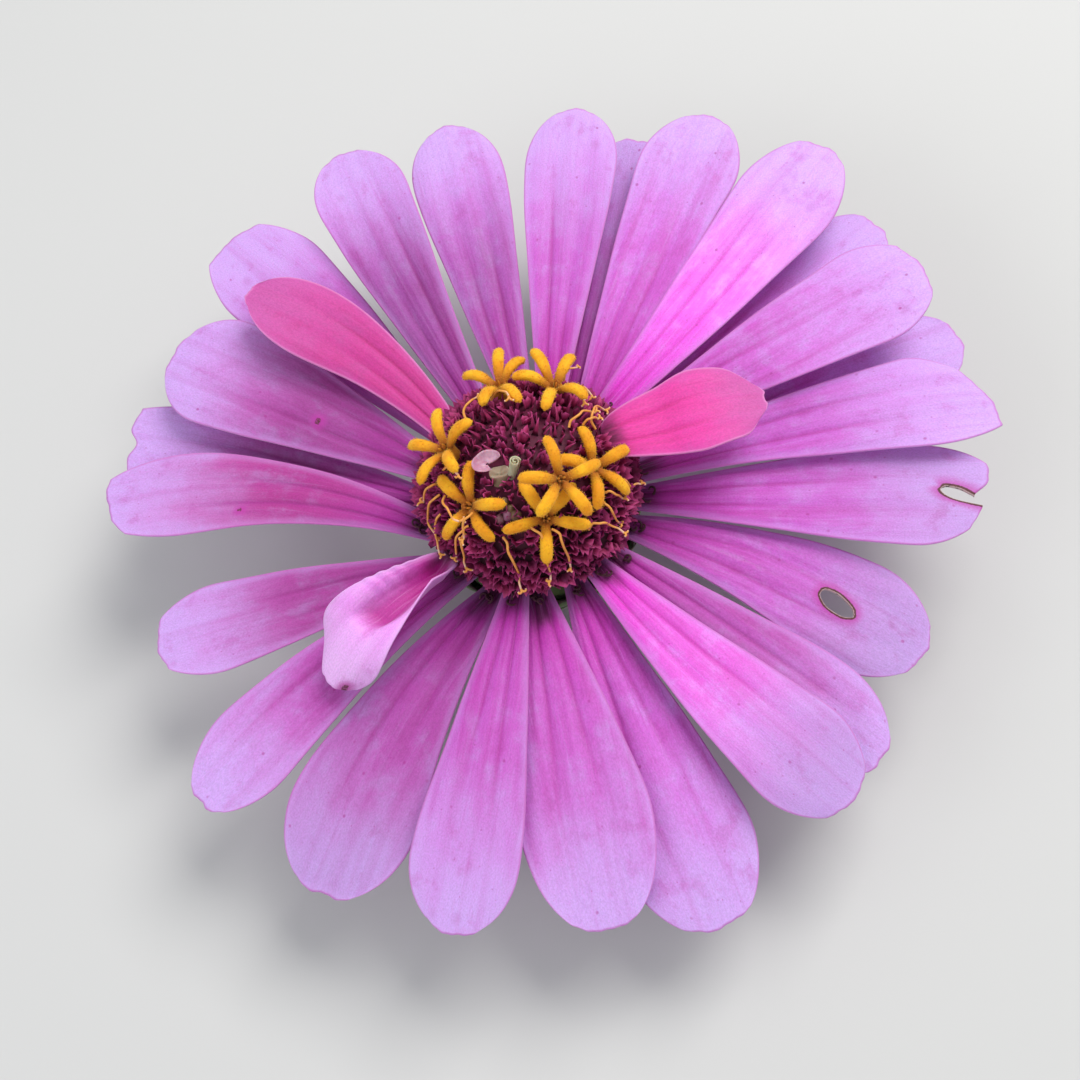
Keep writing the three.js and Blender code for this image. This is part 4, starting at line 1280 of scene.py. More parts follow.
def fan_scale(name, seed, width, height, teeth, fold):
    """A folded fan with a toothed top. It stands on the origin, along +Z, and faces +X."""
    draw = np.random.default_rng(seed)
    columns = 2 * teeth + 1
    across = np.linspace(-1, 1, columns)
    tips = np.where(np.arange(columns) % 2 == 1, draw.uniform(0.92, 1.08, columns), 0.83)
    ruffle = 0.10 * width * np.sin(4.5 * across + draw.uniform(*ANY_PHASE))
    rows = []
    for level, spread in FAN_ROWS:
        top = level == 1.0
        z = level * tips * height if top else np.full(columns, level * height)
        y = across * spread * width / 2 + (draw.uniform(-0.05, 0.05, columns) * width if top else 0)
        x = ruffle * level - fold * width * (across * spread) ** 2 + 0.25 * height * (z / height) ** 2
        rows.append(np.column_stack((x, y, z)))
    front = np.concatenate(rows)
    points = np.concatenate((front, front - (FAN_THICK, 0, 0)))
    quads = grid_faces(len(FAN_ROWS), columns)[:, [0, 3, 2, 1]]
    return new_mesh(name, points, close_sheet(quads, len(front)), None, {"along": both(front[:, 2] / height)})


def thread_scale(name, seed, height, radius):
    """A narrow pointed scale with three sides, bent outwards."""
    draw = np.random.default_rng(seed)
    rings = []
    for level in THREAD_LEVELS:
        size = radius * (1.0 - 0.92 * level)
        bend = 0.35 * height * level ** 2 + 0.06 * draw.uniform(-1, 1)
        rings.append(oval(circle(3), size, 1.6 * size, level * height) + (bend, 0, 0))
    marks = {"along": np.repeat(THREAD_LEVELS, 3)}
    return new_mesh(name, np.concatenate(rings), ring_faces(len(rings), 3), None, marks)


FANS = [fan_scale(f"fan_{k}", 60 + k, 2.0, 2.0, 3 + k % 3, 0.20 + 0.07 * k) for k in range(6)]
SMALL_FANS = [fan_scale(f"small_fan_{k}", 80 + k, 1.0, 1.5, 2 + k % 2, 0.35) for k in range(3)]
SMALL_FANS += [thread_scale(f"thread_{k}", 70 + k, 1.8, 0.24) for k in range(3)]
LOW_FANS = [fan_scale(f"low_fan_{k}", 90 + k, 1.1, 0.8, 2 + k % 2, 0.25) for k in range(4)]
print("faces of one fan:", len(FANS[0].polygons), "and of one thread:", len(SMALL_FANS[-1].polygons))

# %% The dome
DOME = np.array((                # radius and height, from the skirt to the crown
    (10.5, 18.3), (10.5, 19.4), (10.1, 20.8), (9.3, 22.3), (8.1, 23.8), (6.5, 25.1), (4.5, 26.2), (2.3, 26.9),
    (0.0, 27.2)))
NECK_BOTTOM = 13.7


def dome_at(share):
    """Radius and height on the dome's outline, 0 at the skirt and 1 at the crown, and its outward normal."""
    steps = np.concatenate(((0,), np.cumsum(np.linalg.norm(np.diff(DOME, axis=0), axis=1))))

    def spot(share):
        return np.array([np.interp(share * steps[-1], steps, column) for column in DOME.T])

    slope = unit(spot(share + 0.01) - spot(share - 0.01))
    return spot(share), np.array((slope[1], -slope[0]))


def dome_mesh():
    neck = [(0, NECK_BOTTOM), (NECK_RADIUS, NECK_BOTTOM), (NECK_RADIUS, 17.6), (9.4, 18.0)]
    dome = [tuple(dome_at(share)[0]) for share in np.linspace(0, 1, 22)[:-1]]
    points, faces = lathe(neck + dome + [(0, DOME[-1, 1])], 72)
    # painted shade: the dome takes the near-black colour of the scales' feet, a little less dark towards the
    # crown
    marks = {"along": 0.08 + 0.17 * smooth(22.0, 25.0, points[:, 2]), "tone": np.full(len(points), 0.4)}
    return new_mesh("head_dome", points, faces, CHAFF_FINISH, marks)


dress("head_dome", dome_mesh(), "chaff", "chaffy_head")
print("the dome is as high as", DOME[-1, 1], "mm")

# %% Where the scales have no room
CROWN_POSTS = (                  # x, y, lowest height and radius of the room round the young florets
    (-3.1, -0.9, 27.6, 1.2), (-2.4, -1.9, 26.4, 0.8), (-0.6, -2.2, 26.4, 0.7),
)
POST_TOP, POST_STEP = 29.5, 0.5
LOBE_ROOM, CLAW_ROOM = 0.05, 0.5    # millimetres kept clear round a lobe's skin and round a claw's middle


def balls(places, radius):
    """Places with a radius that the scales stay out of."""
    return np.column_stack((places, np.full(len(places), radius)))


def clear_places():
    """The room of the open florets, the claws and the young florets, as balls."""
    rooms = []
    for star in STARS:
        axes, throat = star_frame(star)
        for direction, lift in zip(star[3], star[4]):
            line = lobe_line(np.linspace(0, 1, 6), direction, lift) @ axes.T + throat
            rooms.append(balls(line, LOBE_RADIUS + LOBE_ROOM))
        rooms.append(balls(throat + np.outer((-0.5, -1.4), axes[:, 2]), TUBE_RADIUS))
    t = np.linspace(0, 0.2, 6)
    for ray in RAYS + YOUNG:
        point, along = midrib(ray, t)
        point = point + lead(ray, t)
        left = unit(np.cross(UP, along))
        for side in (-1, -0.5, 0, 0.5, 1):
            rooms.append(balls(point + left * side * half_width(ray, t)[:, None], CLAW_ROOM))
    for x, y, low, radius in CROWN_POSTS:
        rooms.append(balls([(x, y, height) for height in np.arange(low, POST_TOP, POST_STEP)], radius))
    return np.concatenate(rooms)


def room_above(root, axis, avoid):
    """How much of a full scale, 2 mm tall, fits on this root."""
    for reach in (0.4, 0.8, 1.2, 1.6):
        gap = (np.linalg.norm(avoid[:, :3] - (root + axis * reach), axis=1) - avoid[:, 3]).min()
        if gap < 0.05:
            return (reach - 0.1) / 1.8
    return 1.0


CLEAR_PLACES = clear_places()
print("balls that the scales keep clear of:", len(CLEAR_PLACES))

# %% Where the scales stand
CROWN_SHARE = 0.40               # this far up the slope the small scales take over from the fans
FAN_COUNT, SMALL_COUNT = 640, 1100    # how many of each a whole dome would hold
SCALE_ROOM, LOW_ROOM = 0.55, 0.20    # a place with less room gets a low fan, and then nothing
SCALE_LEAN = 0.75                # how much of the dome's outward slope the scales take on
FAN_SINK, SMALL_SINK = 1.0, 0.25    # how far their roots stand inside the dome, in millimetres
SKIRT_COUNT = 52                 # fans in the lowest row, under the edge of the dome
GOLDEN_ANGLE = 180 * (3 - np.sqrt(5))


def spiral_places():
    """Number and place on the slope for the crown's spiral and then for the flank's."""
    for count, in_crown in ((SMALL_COUNT, True), (FAN_COUNT, False)):
        for k in range(count):
            share = 1 - np.sqrt((k + 0.5) / count)
            if in_crown == (share > CROWN_SHARE):
                yield k, share, in_crown


def scale_guides():
    """Places, axes, facings and sizes of the fans, the crown scales and the low fans."""
    draw = np.random.default_rng(5)
    fans, small, low = [], [], []
    for k, share, in_crown in spiral_places():
        (radius, height), normal = dome_at(share)
        azimuth = k * GOLDEN_ANGLE + draw.uniform(-4, 4)
        outward = polar(1.0, azimuth, 0.0)
        axis = unit(outward * normal[0] * SCALE_LEAN + UP * (normal[1] + 0.45) + draw.normal(0, 0.16, 3))
        root = polar(radius - (SMALL_SINK if in_crown else FAN_SINK), azimuth, height - 0.15)
        room = room_above(root, axis, CLEAR_PLACES)
        if room > SCALE_ROOM:
            (small if in_crown else fans).append((root, axis, outward, room))
        elif room > LOW_ROOM:
            low.append((polar(radius - 0.1, azimuth, height - 0.05), axis, outward, 0.6 + room))
    for k in range(SKIRT_COUNT):
        azimuth = k * 360 / SKIRT_COUNT + draw.uniform(-3, 3)
        outward = polar(1.0, azimuth, 0.0)
        root, axis = polar(9.5, azimuth, 18.1), unit(outward + UP * draw.uniform(0.3, 0.8))
        room = room_above(root, axis, CLEAR_PLACES)
        if room > SCALE_ROOM:
            fans.append((root, axis, UP, 0.85 * room))
    return [tuple(np.array(column) for column in zip(*rows)) for rows in (fans, small, low)]


fan_guides, small_guides, low_guides = scale_guides()
print("fans:", len(fan_guides[0]), "crown scales:", len(small_guides[0]), "low fans:", len(low_guides[0]))

# %% Build the chaff
ALL_ROUND = 3.1                  # radians each way: a part with this spin jitter may face anywhere
CHAFF = (                        # piece, guides, parts, seed, size jitter, spin jitter, lowest tone
    ("chaff_fans", fan_guides, FANS, 11, 0.22, 0.7, 0.0),
    ("crown_scales", small_guides, SMALL_FANS, 12, 0.25, ALL_ROUND, 0.4),
    ("low_fans", low_guides, LOW_FANS, 13, 0.2, ALL_ROUND, 0.2),
)
chaff_faces = 0
for name, guides, parts, seed, size_jitter, spin_jitter, lowest_tone in CHAFF:
    mesh = scatter(name, guides, parts, CHAFF_FINISH, seed, size_jitter, spin_jitter, lowest_tone)
    dress(name, mesh, "chaff", "chaffy_head")
    chaff_faces += len(mesh.polygons)
print("faces of the chaff:", chaff_faces)

# %% Closed buds on the crown
BUDS = (                         # their tops
    (-2.3, -5.1, 26.3), (-2.7, -4.4, 26.6), (-2, -5.7, 26), (-3.5, -5.5, 25.8), (-2.7, -5.5, 26),
)
BUD_RINGS, BUD_SIDES = 9, 14


def bud_finish():
    material, tree, shader = new_finish(
        "bud_olive", Roughness=0.55, Subsurface_Weight=0.1, Subsurface_Scale=0.0005)
    tone = attribute(tree, "tone")["Fac"]
    fine = noise(tree, object_place(tree), 1500.0, 3.0)
    colour = mix(tree, soft_step(tree, tone, 0.3, 0.8), (0.20, 0.13, 0.055), (0.34, 0.13, 0.22))
    colour = mix(tree, soft_step(tree, fine, 0.40, 0.70, 0.0, 0.6), colour, (0.07, 0.03, 0.025))
    connect(tree, shader, colour, fine, 0.04)
    return material


def bud_part(k, top):
    """An egg-shaped unopened floret with five soft ribs."""
    size = 0.48 + 0.05 * (k % 3)
    rounds = np.linspace(0, np.pi, BUD_RINGS)
    profile = [(size * np.sin(a) * (1 + 0.1 * np.cos(a)), -1.3 * size * np.cos(a)) for a in rounds]
    points, faces = lathe(profile, BUD_SIDES)
    ribs = 1 + 0.06 * np.cos(5 * np.arctan2(points[:, 1], points[:, 0]))
    points = points * np.column_stack((ribs, ribs, np.ones(len(ribs)))) + top - UP * 0.8 * size
    return points, faces, {"tone": np.full(len(points), k / len(BUDS))}


BUD_FINISH = bud_finish()
points, faces, marks = gather([bud_part(k, top) for k, top in enumerate(BUDS)])
dress("closed_buds", new_mesh("closed_buds", points, faces, BUD_FINISH, marks), "chaff", "chaffy_head")
print("closed buds:", len(BUDS))

# %% [markdown]
# ## Star florets
# Each open floret has five plump lobes, golden and covered in velvet, which spread from an orange-brown
# throat and bend back at their ends. A lobe is a tube of rings round its middle line, with a keel and a
# rounded end; the velvet is real: thousands of tiny cones set by the scatter tree, so that the outline
# looks soft up close.

# %% Finish of the star florets
def gold_finish():
    material, tree, shader = new_finish(
        "floret_gold", Roughness=0.70, Sheen_Weight=0.45, Sheen_Roughness=0.5,
        Sheen_Tint=(1.0, 0.80, 0.25, 1), Specular_IOR_Level=0.25, Subsurface_Weight=0.20,
        Subsurface_Scale=0.0008, Subsurface_Radius=(1.0, 0.5, 0.1))
    along = attribute(tree, "along")["Fac"]
    place = object_place(tree)
    soft = noise(tree, place, 450.0, 3.0)
    fine = noise(tree, place, 5200.0, 2.0)
    gold = mix(tree, soft_step(tree, soft, 0.35, 0.70), (0.80, 0.31, 0.006), (0.92, 0.46, 0.012))
    colour = mix(tree, soft_step(tree, along, 0.02, 0.42), (0.40, 0.11, 0.010), gold)
    colour = mix(tree, soft_step(tree, along, -0.02, -0.3), colour, (0.16, 0.05, 0.012))
    colour = mix(tree, soft_step(tree, along, 0.88, 1.0, 0.0, 0.3), colour, (0.95, 0.55, 0.03))
    connect(tree, shader, colour, fine, 0.08)
    return material


GOLD_FINISH = gold_finish()
print("floret finish:", GOLD_FINISH.name)

# %% A lobe
LOBE_RINGS, LOBE_SIDES = 26, 16
LOBE_SWAY = 0.20                 # a lobe's end bends this far to either side by chance


def lobe_part(direction, lift, draw):
    """One lobe in its floret's axes, and the outward normal at each of its points."""
    t = np.linspace(0, 1, LOBE_RINGS)
    middle = lobe_line(t, direction, lift)
    angle = np.radians(direction)
    side = np.array((-np.sin(angle), np.cos(angle), 0))
    middle = middle + np.outer(draw.uniform(-LOBE_SWAY, LOBE_SWAY) * t ** 2, side)
    along = unit(np.gradient(middle, axis=0))
    up = unit(np.cross(along, side))
    body = 0.62 + 0.30 * smooth(0.0, 0.50, t) - 0.08 * smooth(0.6, 1.0, t)
    end = np.sqrt(np.clip(1 - (np.clip(t - 0.78, 0, 1) / 0.22) ** 2.3, 0.0, 1))
    radius = LOBE_RADIUS * draw.uniform(0.94, 1.04) * body * np.maximum(end, 0.04)
    turn = circle(LOBE_SIDES)
    keel = 1 + 0.05 * np.cos(2 * turn) - 0.07 * np.exp(-((turn - np.pi / 2) / 0.35) ** 2)
    spokes = side * (np.cos(turn) * keel)[:, None] + (np.sin(turn) * keel * 0.88)[:, None] * up[:, None]
    points = (middle[:, None] + spokes * radius[:, None, None]).reshape(-1, 3)
    part = points, ring_faces(LOBE_RINGS, LOBE_SIDES), {"along": np.repeat(t, LOBE_SIDES)}
    return part, unit(spokes).reshape(-1, 3)


print("points in one lobe:", LOBE_RINGS * LOBE_SIDES)

# %% Tube, throat and anthers
THROAT = (                       # radius, height and mark of each ring: up the tube, over its rim and in
    (0.05, -3.6, 0.10), (0.62, -3.5, 0.10), (0.72, -1.5, 0.10), (0.88, -0.3, 0.12), (0.80, 0.12, 0.10),
    (0.50, 0.02, 0.02), (0.05, -0.25, -0.20),
)
THROAT_SIDES, ANTHER_SIDES = 16, 6
ANTHER = ((-0.3, 0.09), (0.15, 0.13), (0.55, 0.11), (0.72, 0.03))    # heights and radii of its rings
ANTHER_MARKS = (-0.1, 0.16)      # the lower, the darker


def throat_part():
    points, faces = lathe([ring[:2] for ring in THROAT], THROAT_SIDES)
    return points, faces, {"along": np.repeat([ring[2] for ring in THROAT], THROAT_SIDES)}


def anther_part(k, draw):
    """One of five dark columns that lean out of the throat."""
    angle = np.radians(72 * k + draw.uniform(-12, 12))
    lean = np.array((np.cos(angle), np.sin(angle), 0))
    rings = []
    for height, radius in ANTHER:
        ring = oval(circle(ANTHER_SIDES), radius, radius, height)
        rings.append(lean * (0.22 + 0.12 * max(height, 0)) + ring)
    points = np.concatenate(rings)
    faces = ring_faces(len(ANTHER), ANTHER_SIDES)
    return points, faces, {"along": np.full(len(points), ANTHER_MARKS[k % 2])}


print("rings of a throat:", len(THROAT), "and of an anther:", len(ANTHER))

# %% One star and its velvet
VELVET_PER_LOBE = 260
VELVET_SINK, VELVET_STRAY = 0.02, 0.03    # millimetres
BARE_RINGS = 3                   # the lobe's first rings, deep in the throat, have no velvet


def star_parts(star, seed):
    """Points, faces and marks of an open floret, and the places and axes of its velvet."""
    draw = np.random.default_rng(seed)
    axes, throat = star_frame(star)
    parts, guides = [], []
    for direction, lift in zip(star[3], star[4]):
        part, normals = lobe_part(direction, lift, draw)
        picked = draw.choice(np.arange(LOBE_SIDES * BARE_RINGS, len(normals)), VELVET_PER_LOBE)
        stray = draw.normal(0, VELVET_STRAY, (VELVET_PER_LOBE, 3))
        feet = part[0][picked] - normals[picked] * VELVET_SINK + stray
        guides.append(np.column_stack((feet, normals[picked])))
        parts.append(part)
    parts += [throat_part()] + [anther_part(k, draw) for k in range(5)]
    points, faces, marks = gather(parts)
    guides = np.concatenate(guides)
    return points @ axes.T + throat, faces, marks, guides[:, :3] @ axes.T + throat, guides[:, 3:] @ axes.T


def hair_part(name, length, radius, lean=0.2):
    """A three-sided cone along +Z, for velvet and hairs."""
    points = np.concatenate((oval(circle(3), radius, radius, 0.0), [(lean * length, 0, length)]))
    faces = [(2, 1, 0), (0, 1, 3), (1, 2, 3), (2, 0, 3)]
    return new_mesh(name, points, faces, None, {"along": (0.5, 0.5, 0.5, 0.9)})


print("velvet hairs on each floret:", VELVET_PER_LOBE * 5)

# %% Build the stars
HAIR_RADIUS = 0.035
STAR_SEEDS = 100                 # seeds of the stars come after this one
VELVET = [hair_part(f"velvet_{k}", 0.13 + 0.02 * k, HAIR_RADIUS) for k in range(3)]
for k, star in enumerate(STARS, 1):
    node = f"star_floret_{k}"
    points, faces, marks, places, normals = star_parts(star, STAR_SEEDS + k)
    dress(f"{node}_lobes", new_mesh(f"{node}_lobes", points, faces, GOLD_FINISH, marks), "star_gold", node)
    guides = (places, normals, np.cross(normals, UP) + 0.01, np.ones(len(places)))
    velvet = scatter(f"{node}_velvet", guides, VELVET, GOLD_FINISH, k, 0.3, ALL_ROUND)
    dress(f"{node}_velvet", velvet, "star_gold", node)
print("open florets built:", len(STARS))

# %% [markdown]
# ## Old styles and dark remains
# Where florets have withered, their styles stay: thin golden threads that fork and curl over the chaff.
# Each is written as where it starts, which way it leans, how long it is and how it turns. Dark dry threads
# also lie at the foot of the ray petals.

# %% Finish of the styles
def strand_finish(name, foot, tip, roughness):
    material, tree, shader = new_finish(
        name, Roughness=roughness, Subsurface_Weight=0.1, Subsurface_Scale=0.0005)
    along = attribute(tree, "along")["Fac"]
    fine = noise(tree, object_place(tree), 3000.0)
    colour = mix(tree, soft_step(tree, along, 0.75, 1.0), foot, tip)
    colour = mix(tree, soft_step(tree, fine, 0.5, 0.75, 0.0, 0.5), colour, tuple(0.6 * c for c in foot))
    connect(tree, shader, colour, fine, 0.03)
    return material


STYLE_FINISH = strand_finish("style_amber", (0.80, 0.34, 0.06), (0.86, 0.55, 0.42), 0.5)
print("style finish:", STYLE_FINISH.name)

# %% Where the styles lie
STYLE_POINTS = 7                 # along a stem
STYLE_LIFT = 1.6                 # millimetres above the dome, to clear the chaff
STYLES = (                       # foot's azimuth and radius, heading in degrees, length, turn on the way
    (55, 10.2, 33, 3.2, -60), (48, 9.8, 300, 3.4, -70), (41, 10.0, 265, 3.6, -20), (6, 5.2, 27, 3.6, -20),
    (3, 7.6, 50, 3.6, -110), (7, 6.6, 15, 1.8, 40), (131, 5.8, 50, 3.4, -70), (173, 7.4, 300, 2.6, -60),
    (179, 8.4, 185, 2.0, -10), (187, 8.4, 250, 4.4, 150), (191, 8.0, 290, 3.8, 90), (196, 9.2, 255, 3.6, 80),
    (217, 7.3, 225, 2.4, 30), (218, 8.3, 203, 2.6, 30), (218, 8.9, 250, 2.6, 60), (243, 8.2, 272, 4.4, -15),
    (261, 7.4, 268, 4.6, -70), (276, 8.1, 278, 3.0, -40), (296, 9.4, 352, 3.8, -60), (318, 8.6, 350, 2.0, 30),
    (314, 9.0, 310, 1.8, 40), (331, 9.4, 8, 2.4, 40), (100, 6.2, 324, 2.4, -90),
)


def dome_height(radius):
    order = np.argsort(DOME[:, 0])
    return np.interp(radius, DOME[order, 0], DOME[order, 1])


def style_stem(style, draw):
    """Climbs out of the chaff and wanders over it. Also gives its last heading."""
    azimuth, radius, heading, length, turn = style
    steps = np.linspace(0, 1, STYLE_POINTS)
    course = np.radians(heading + turn * (steps - 0.5))
    course = course + 0.35 * np.sin(steps * draw.uniform(7, 12) + draw.uniform(*ANY_PHASE))
    stride = length / (STYLE_POINTS - 1)
    flat = [polar(float(radius), azimuth, 0.0)[:2]]
    for angle in course[:-1]:
        flat.append(flat[-1] + stride * 0.92 * np.array((np.cos(angle), np.sin(angle))))
    flat = np.array(flat)
    lift = STYLE_LIFT + 1.4 * np.sin(np.pi * np.clip(steps * 0.8, 0, 1)) * draw.uniform(0.7, 1.1)
    heights = dome_height(np.minimum(np.hypot(flat[:, 0], flat[:, 1]), 10.4)) + lift
    return np.column_stack((flat, heights)), course[-1]


print("styles:", len(STYLES), "at most this long in mm:", max(style[3] for style in STYLES))

# %% Build the styles
STYLE_RADIUS, STYLE_TIP_SHARE = 0.13, 0.8
ARM_TURNS = np.array((12, 40, 95, 160))    # how far each step of a curled arm has turned, in degrees


def style_paths(style, draw):
    """The stem and the two curled arms that it forks into."""
    stem, course = style_stem(style, draw)
    paths = [stem]
    stride = draw.uniform(0.10, 0.20)
    for side in (-1, 1):
        arm = [stem[-1]]
        for k, angle in enumerate(course + side * np.radians(ARM_TURNS * draw.uniform(0.3, 1.2))):
            arm.append(arm[-1] + stride * np.array((np.cos(angle), np.sin(angle), 0.25 - 0.22 * k)))
        paths.append(np.array(arm))
    return paths


draw = np.random.default_rng(21)
style_lines = [path for style in STYLES for path in style_paths(style, draw)]
style_mesh = strands("amber_styles", style_lines, STYLE_RADIUS, STYLE_TIP_SHARE, STYLE_FINISH)
dress("amber_styles", style_mesh, "star_gold", "chaffy_head")
print("style strands:", len(style_lines))

# %% Dry styles at the foot of the rays
DRY_RADIUS, DRY_TIP_SHARE = 0.15, 0.6
DRY_PER_RAY, DRY_POINTS, DRY_STRIDE = 3, 7, 0.21


def dry_paths(ray, draw):
    """Short dark curls on the upper face of a ray's claw."""
    paths = []
    for _ in range(DRY_PER_RAY):
        point, along = midrib(ray, [draw.uniform(0.04, 0.09)])
        left = unit(np.cross(UP, along))
        steps = np.arange(DRY_POINTS)
        angle = draw.uniform(*ANY_PHASE) + steps * draw.uniform(0.5, 0.9)
        ahead = np.cumsum(DRY_STRIDE * np.cos(angle)) + draw.uniform(-0.3, 0.3)
        sway = np.cumsum(DRY_STRIDE * np.sin(angle)) + draw.uniform(-0.5, 0.5)
        lift = 0.45 + 0.4 * np.sin(steps * 0.5)
        paths.append(point + along * ahead[:, None] + left * sway[:, None] + UP * lift[:, None])
    return paths


DRY_FINISH = strand_finish("dry_style", (0.060, 0.010, 0.024), (0.16, 0.03, 0.06), 0.75)
draw = np.random.default_rng(22)
dry_lines = [path for ray in RAYS for path in dry_paths(ray, draw)]
dry_mesh = strands("dry_styles", dry_lines, DRY_RADIUS, DRY_TIP_SHARE, DRY_FINISH)
dress("dry_styles", dry_mesh, "chaff", "chaffy_head")
print("dry strands:", len(dry_lines))

# %% [markdown]
# ## Young florets on the crown
# Two florets on the crown are only opening: a pale pink blade, folded like a scoop on a greenish claw, and
# a pale green blade that is still rolled up, with the spiral of the roll showing at its end.

# %% Finishes of the young florets
def young_finish(name, pale, deep, green):
    material, tree, shader = new_finish(
        name, Roughness=0.5, Subsurface_Weight=0.25, Subsurface_Scale=0.0008, Sheen_Weight=0.2,
        Specular_IOR_Level=0.4)
    along = attribute(tree, "along")["Fac"]
    lines = noise(tree, stretch(tree, object_place(tree), (1.0, 1.0, 0.15)), 1800.0, 3.0)
    colour = mix(tree, soft_step(tree, lines, 0.35, 0.7), deep, pale)
    colour = mix(tree, soft_step(tree, along, 0.45, 0.05), colour, green)
    connect(tree, shader, colour, lines, 0.05)
    return material


YOUNG_PINK = young_finish("young_floret_pink", (0.62, 0.36, 0.46), (0.48, 0.20, 0.31), (0.34, 0.27, 0.16))
YOUNG_GREEN = young_finish("young_floret_green", (0.54, 0.54, 0.36), (0.36, 0.35, 0.21), (0.15, 0.13, 0.06))
print("young florets' finishes:", YOUNG_PINK.name, YOUNG_GREEN.name)

# %% The opening blade on its claw
BLADE_PLACE = np.array((-2.8, -1.2, 28.6))
HOOD_RINGS, HOOD_SIDES = 9, 34
STEM_FOOT, STEM_HEAD = np.array((-2.5, -2.9, 25.5)), np.array((-2.3, -1.75, 27.3))
STEM_SIDES = 20
STEM_RINGS = (                   # share of the way up, depth under the skin: up, over the rim, down inside
    (0, 0), (0.25, 0), (0.5, 0), (0.75, 0), (1, 0), (1.03, 0.05), (1.01, 0.14), (0.93, 0.4), (0.9, 0.8),
)


def hood_part():
    """The opening blade: a hollow hood, open to one side."""
    share, turn = grid_of(np.linspace(0.10, 1, HOOD_RINGS), np.radians(np.linspace(2, 282, HOOD_SIDES)))
    reach = share * (1 + 0.07 * np.sin(2 * turn + 0.5))
    height = 0.75 * share ** 2.2 + 0.06 * share ** 3 * np.sin(5 * turn)
    inner = oval(turn, 1.35 * reach, 1.08 * reach, height) + BLADE_PLACE + (-0.35, 0.25, -0.55)
    outer = inner - np.outer(0.22 - 0.10 * share, UP)
    faces = close_sheet(grid_faces(HOOD_RINGS, HOOD_SIDES), len(inner))
    return np.concatenate((inner, outer)), faces, {"along": both(0.5 + 0.5 * share)}


def claw_part():
    """The claw that carries the hood: a short tube that flares to a wavy rim."""
    turn = circle(STEM_SIDES)
    rings = []
    for share, wall in STEM_RINGS:
        size = 0.62 + 0.24 * share ** 2 - wall
        rim = 0.16 * share ** 4 * np.sin(3 * turn + 0.5)
        middle = STEM_FOOT + (STEM_HEAD - STEM_FOOT) * share
        rings.append(middle + oval(turn, 1.15 * size, 0.75 * size, rim))
    marks = {"along": np.repeat([0.14 * share for share, _ in STEM_RINGS], STEM_SIDES)}
    return np.concatenate(rings), ring_faces(len(rings), STEM_SIDES), marks


points, faces, marks = gather([hood_part(), claw_part()])
blade_mesh = new_mesh("young_floret_1_blade", points, faces, YOUNG_PINK, marks)
dress("young_floret_1_blade", blade_mesh, "young_pink", "young_floret_1")
print("points of the opening blade and its claw:", len(points))

# %% The rolled blade
TUBE_PLACE = np.array((-0.6, -2.2, 29.4))
TUBE_LENGTH = 4.0
ROLL_TURNS, ROLL_STEPS, ROLL_LEVELS = 1.8, 60, 14
ROLL_OUTSIDE, ROLL_INSIDE, ROLL_WALL = 0.60, 0.19, 0.12    # radii where the spiral starts and ends, thickness
ROLL_LEAN = np.radians((-2, 14))    # about X and Y


def rolled_mesh():
    """A rolled blade: a spiral band drawn out into a tube."""
    angle = np.linspace(0, ROLL_TURNS * 2 * np.pi, ROLL_STEPS)
    radius = np.linspace(ROLL_OUTSIDE, ROLL_INSIDE, ROLL_STEPS)
    outside = oval(angle, radius, radius, 0.0)
    inside = oval(angle, radius - ROLL_WALL, radius - ROLL_WALL, 0.0)
    band = np.concatenate((outside, inside[::-1]))[:, :2]
    inner_share = (radius[0] - np.concatenate((radius, radius[::-1]))) / radius[0]
    levels = np.linspace(0, 1, ROLL_LEVELS)
    rings = []
    for s in levels:
        height = (s - 1) * TUBE_LENGTH + 0.25 * s ** 6 * inner_share
        rings.append(np.column_stack((band * (0.72 + 0.28 * s), height)))
    lean = Matrix.Rotation(ROLL_LEAN[1], 3, "Y") @ Matrix.Rotation(ROLL_LEAN[0], 3, "X")
    points = np.concatenate(rings) @ np.array(lean).T + TUBE_PLACE
    marks = {"along": np.repeat(0.1 + 0.9 * levels, 2 * ROLL_STEPS)}
    faces = ring_faces(ROLL_LEVELS, 2 * ROLL_STEPS)
    return new_mesh("young_floret_2_roll", points, faces, YOUNG_GREEN, marks)


dress("young_floret_2_roll", rolled_mesh(), "young_green", "young_floret_2")
print("young florets at heights in mm:", BLADE_PLACE[2], TUBE_PLACE[2])

# %% [markdown]
# ## Green cup and cut stalk
# Below the petals the head sits in a cup of rounded green bracts, laid like tiles in three rows, each with
# a thin dark margin. They are hidden in the photograph, so their form is that of the species. One bract is
# made for each row and the ring tree repeats it. The stalk is ribbed and hairy, and its cut end is pale and
# flat.

# %% Green finishes
def green_finish(name, light, dark, margin, streak_scale):
    material, tree, shader = new_finish(
        name, Roughness=0.55, Subsurface_Weight=0.12, Subsurface_Scale=0.0008, Sheen_Weight=0.15,
        Specular_IOR_Level=0.4)
    place = attribute(tree, "leaf_at")["Vector"]
    edge = parts_of(tree, place)[2]
    clouds = noise(tree, object_place(tree), 350.0, 3.0)
    lines = noise(tree, stretch(tree, place, (1.0, 0.08, 0.0)), streak_scale, 3.0)
    colour = mix(tree, soft_step(tree, clouds, 0.3, 0.7), dark, light)
    colour = mix(tree, soft_step(tree, lines, 0.5, 0.72, 0.0, 0.45), colour, dark)
    colour = mix(tree, soft_step(tree, edge, 0.42, 0.10, 0.0, 0.92), colour, margin)
    connect(tree, shader, colour, lines, 0.08)
    return material


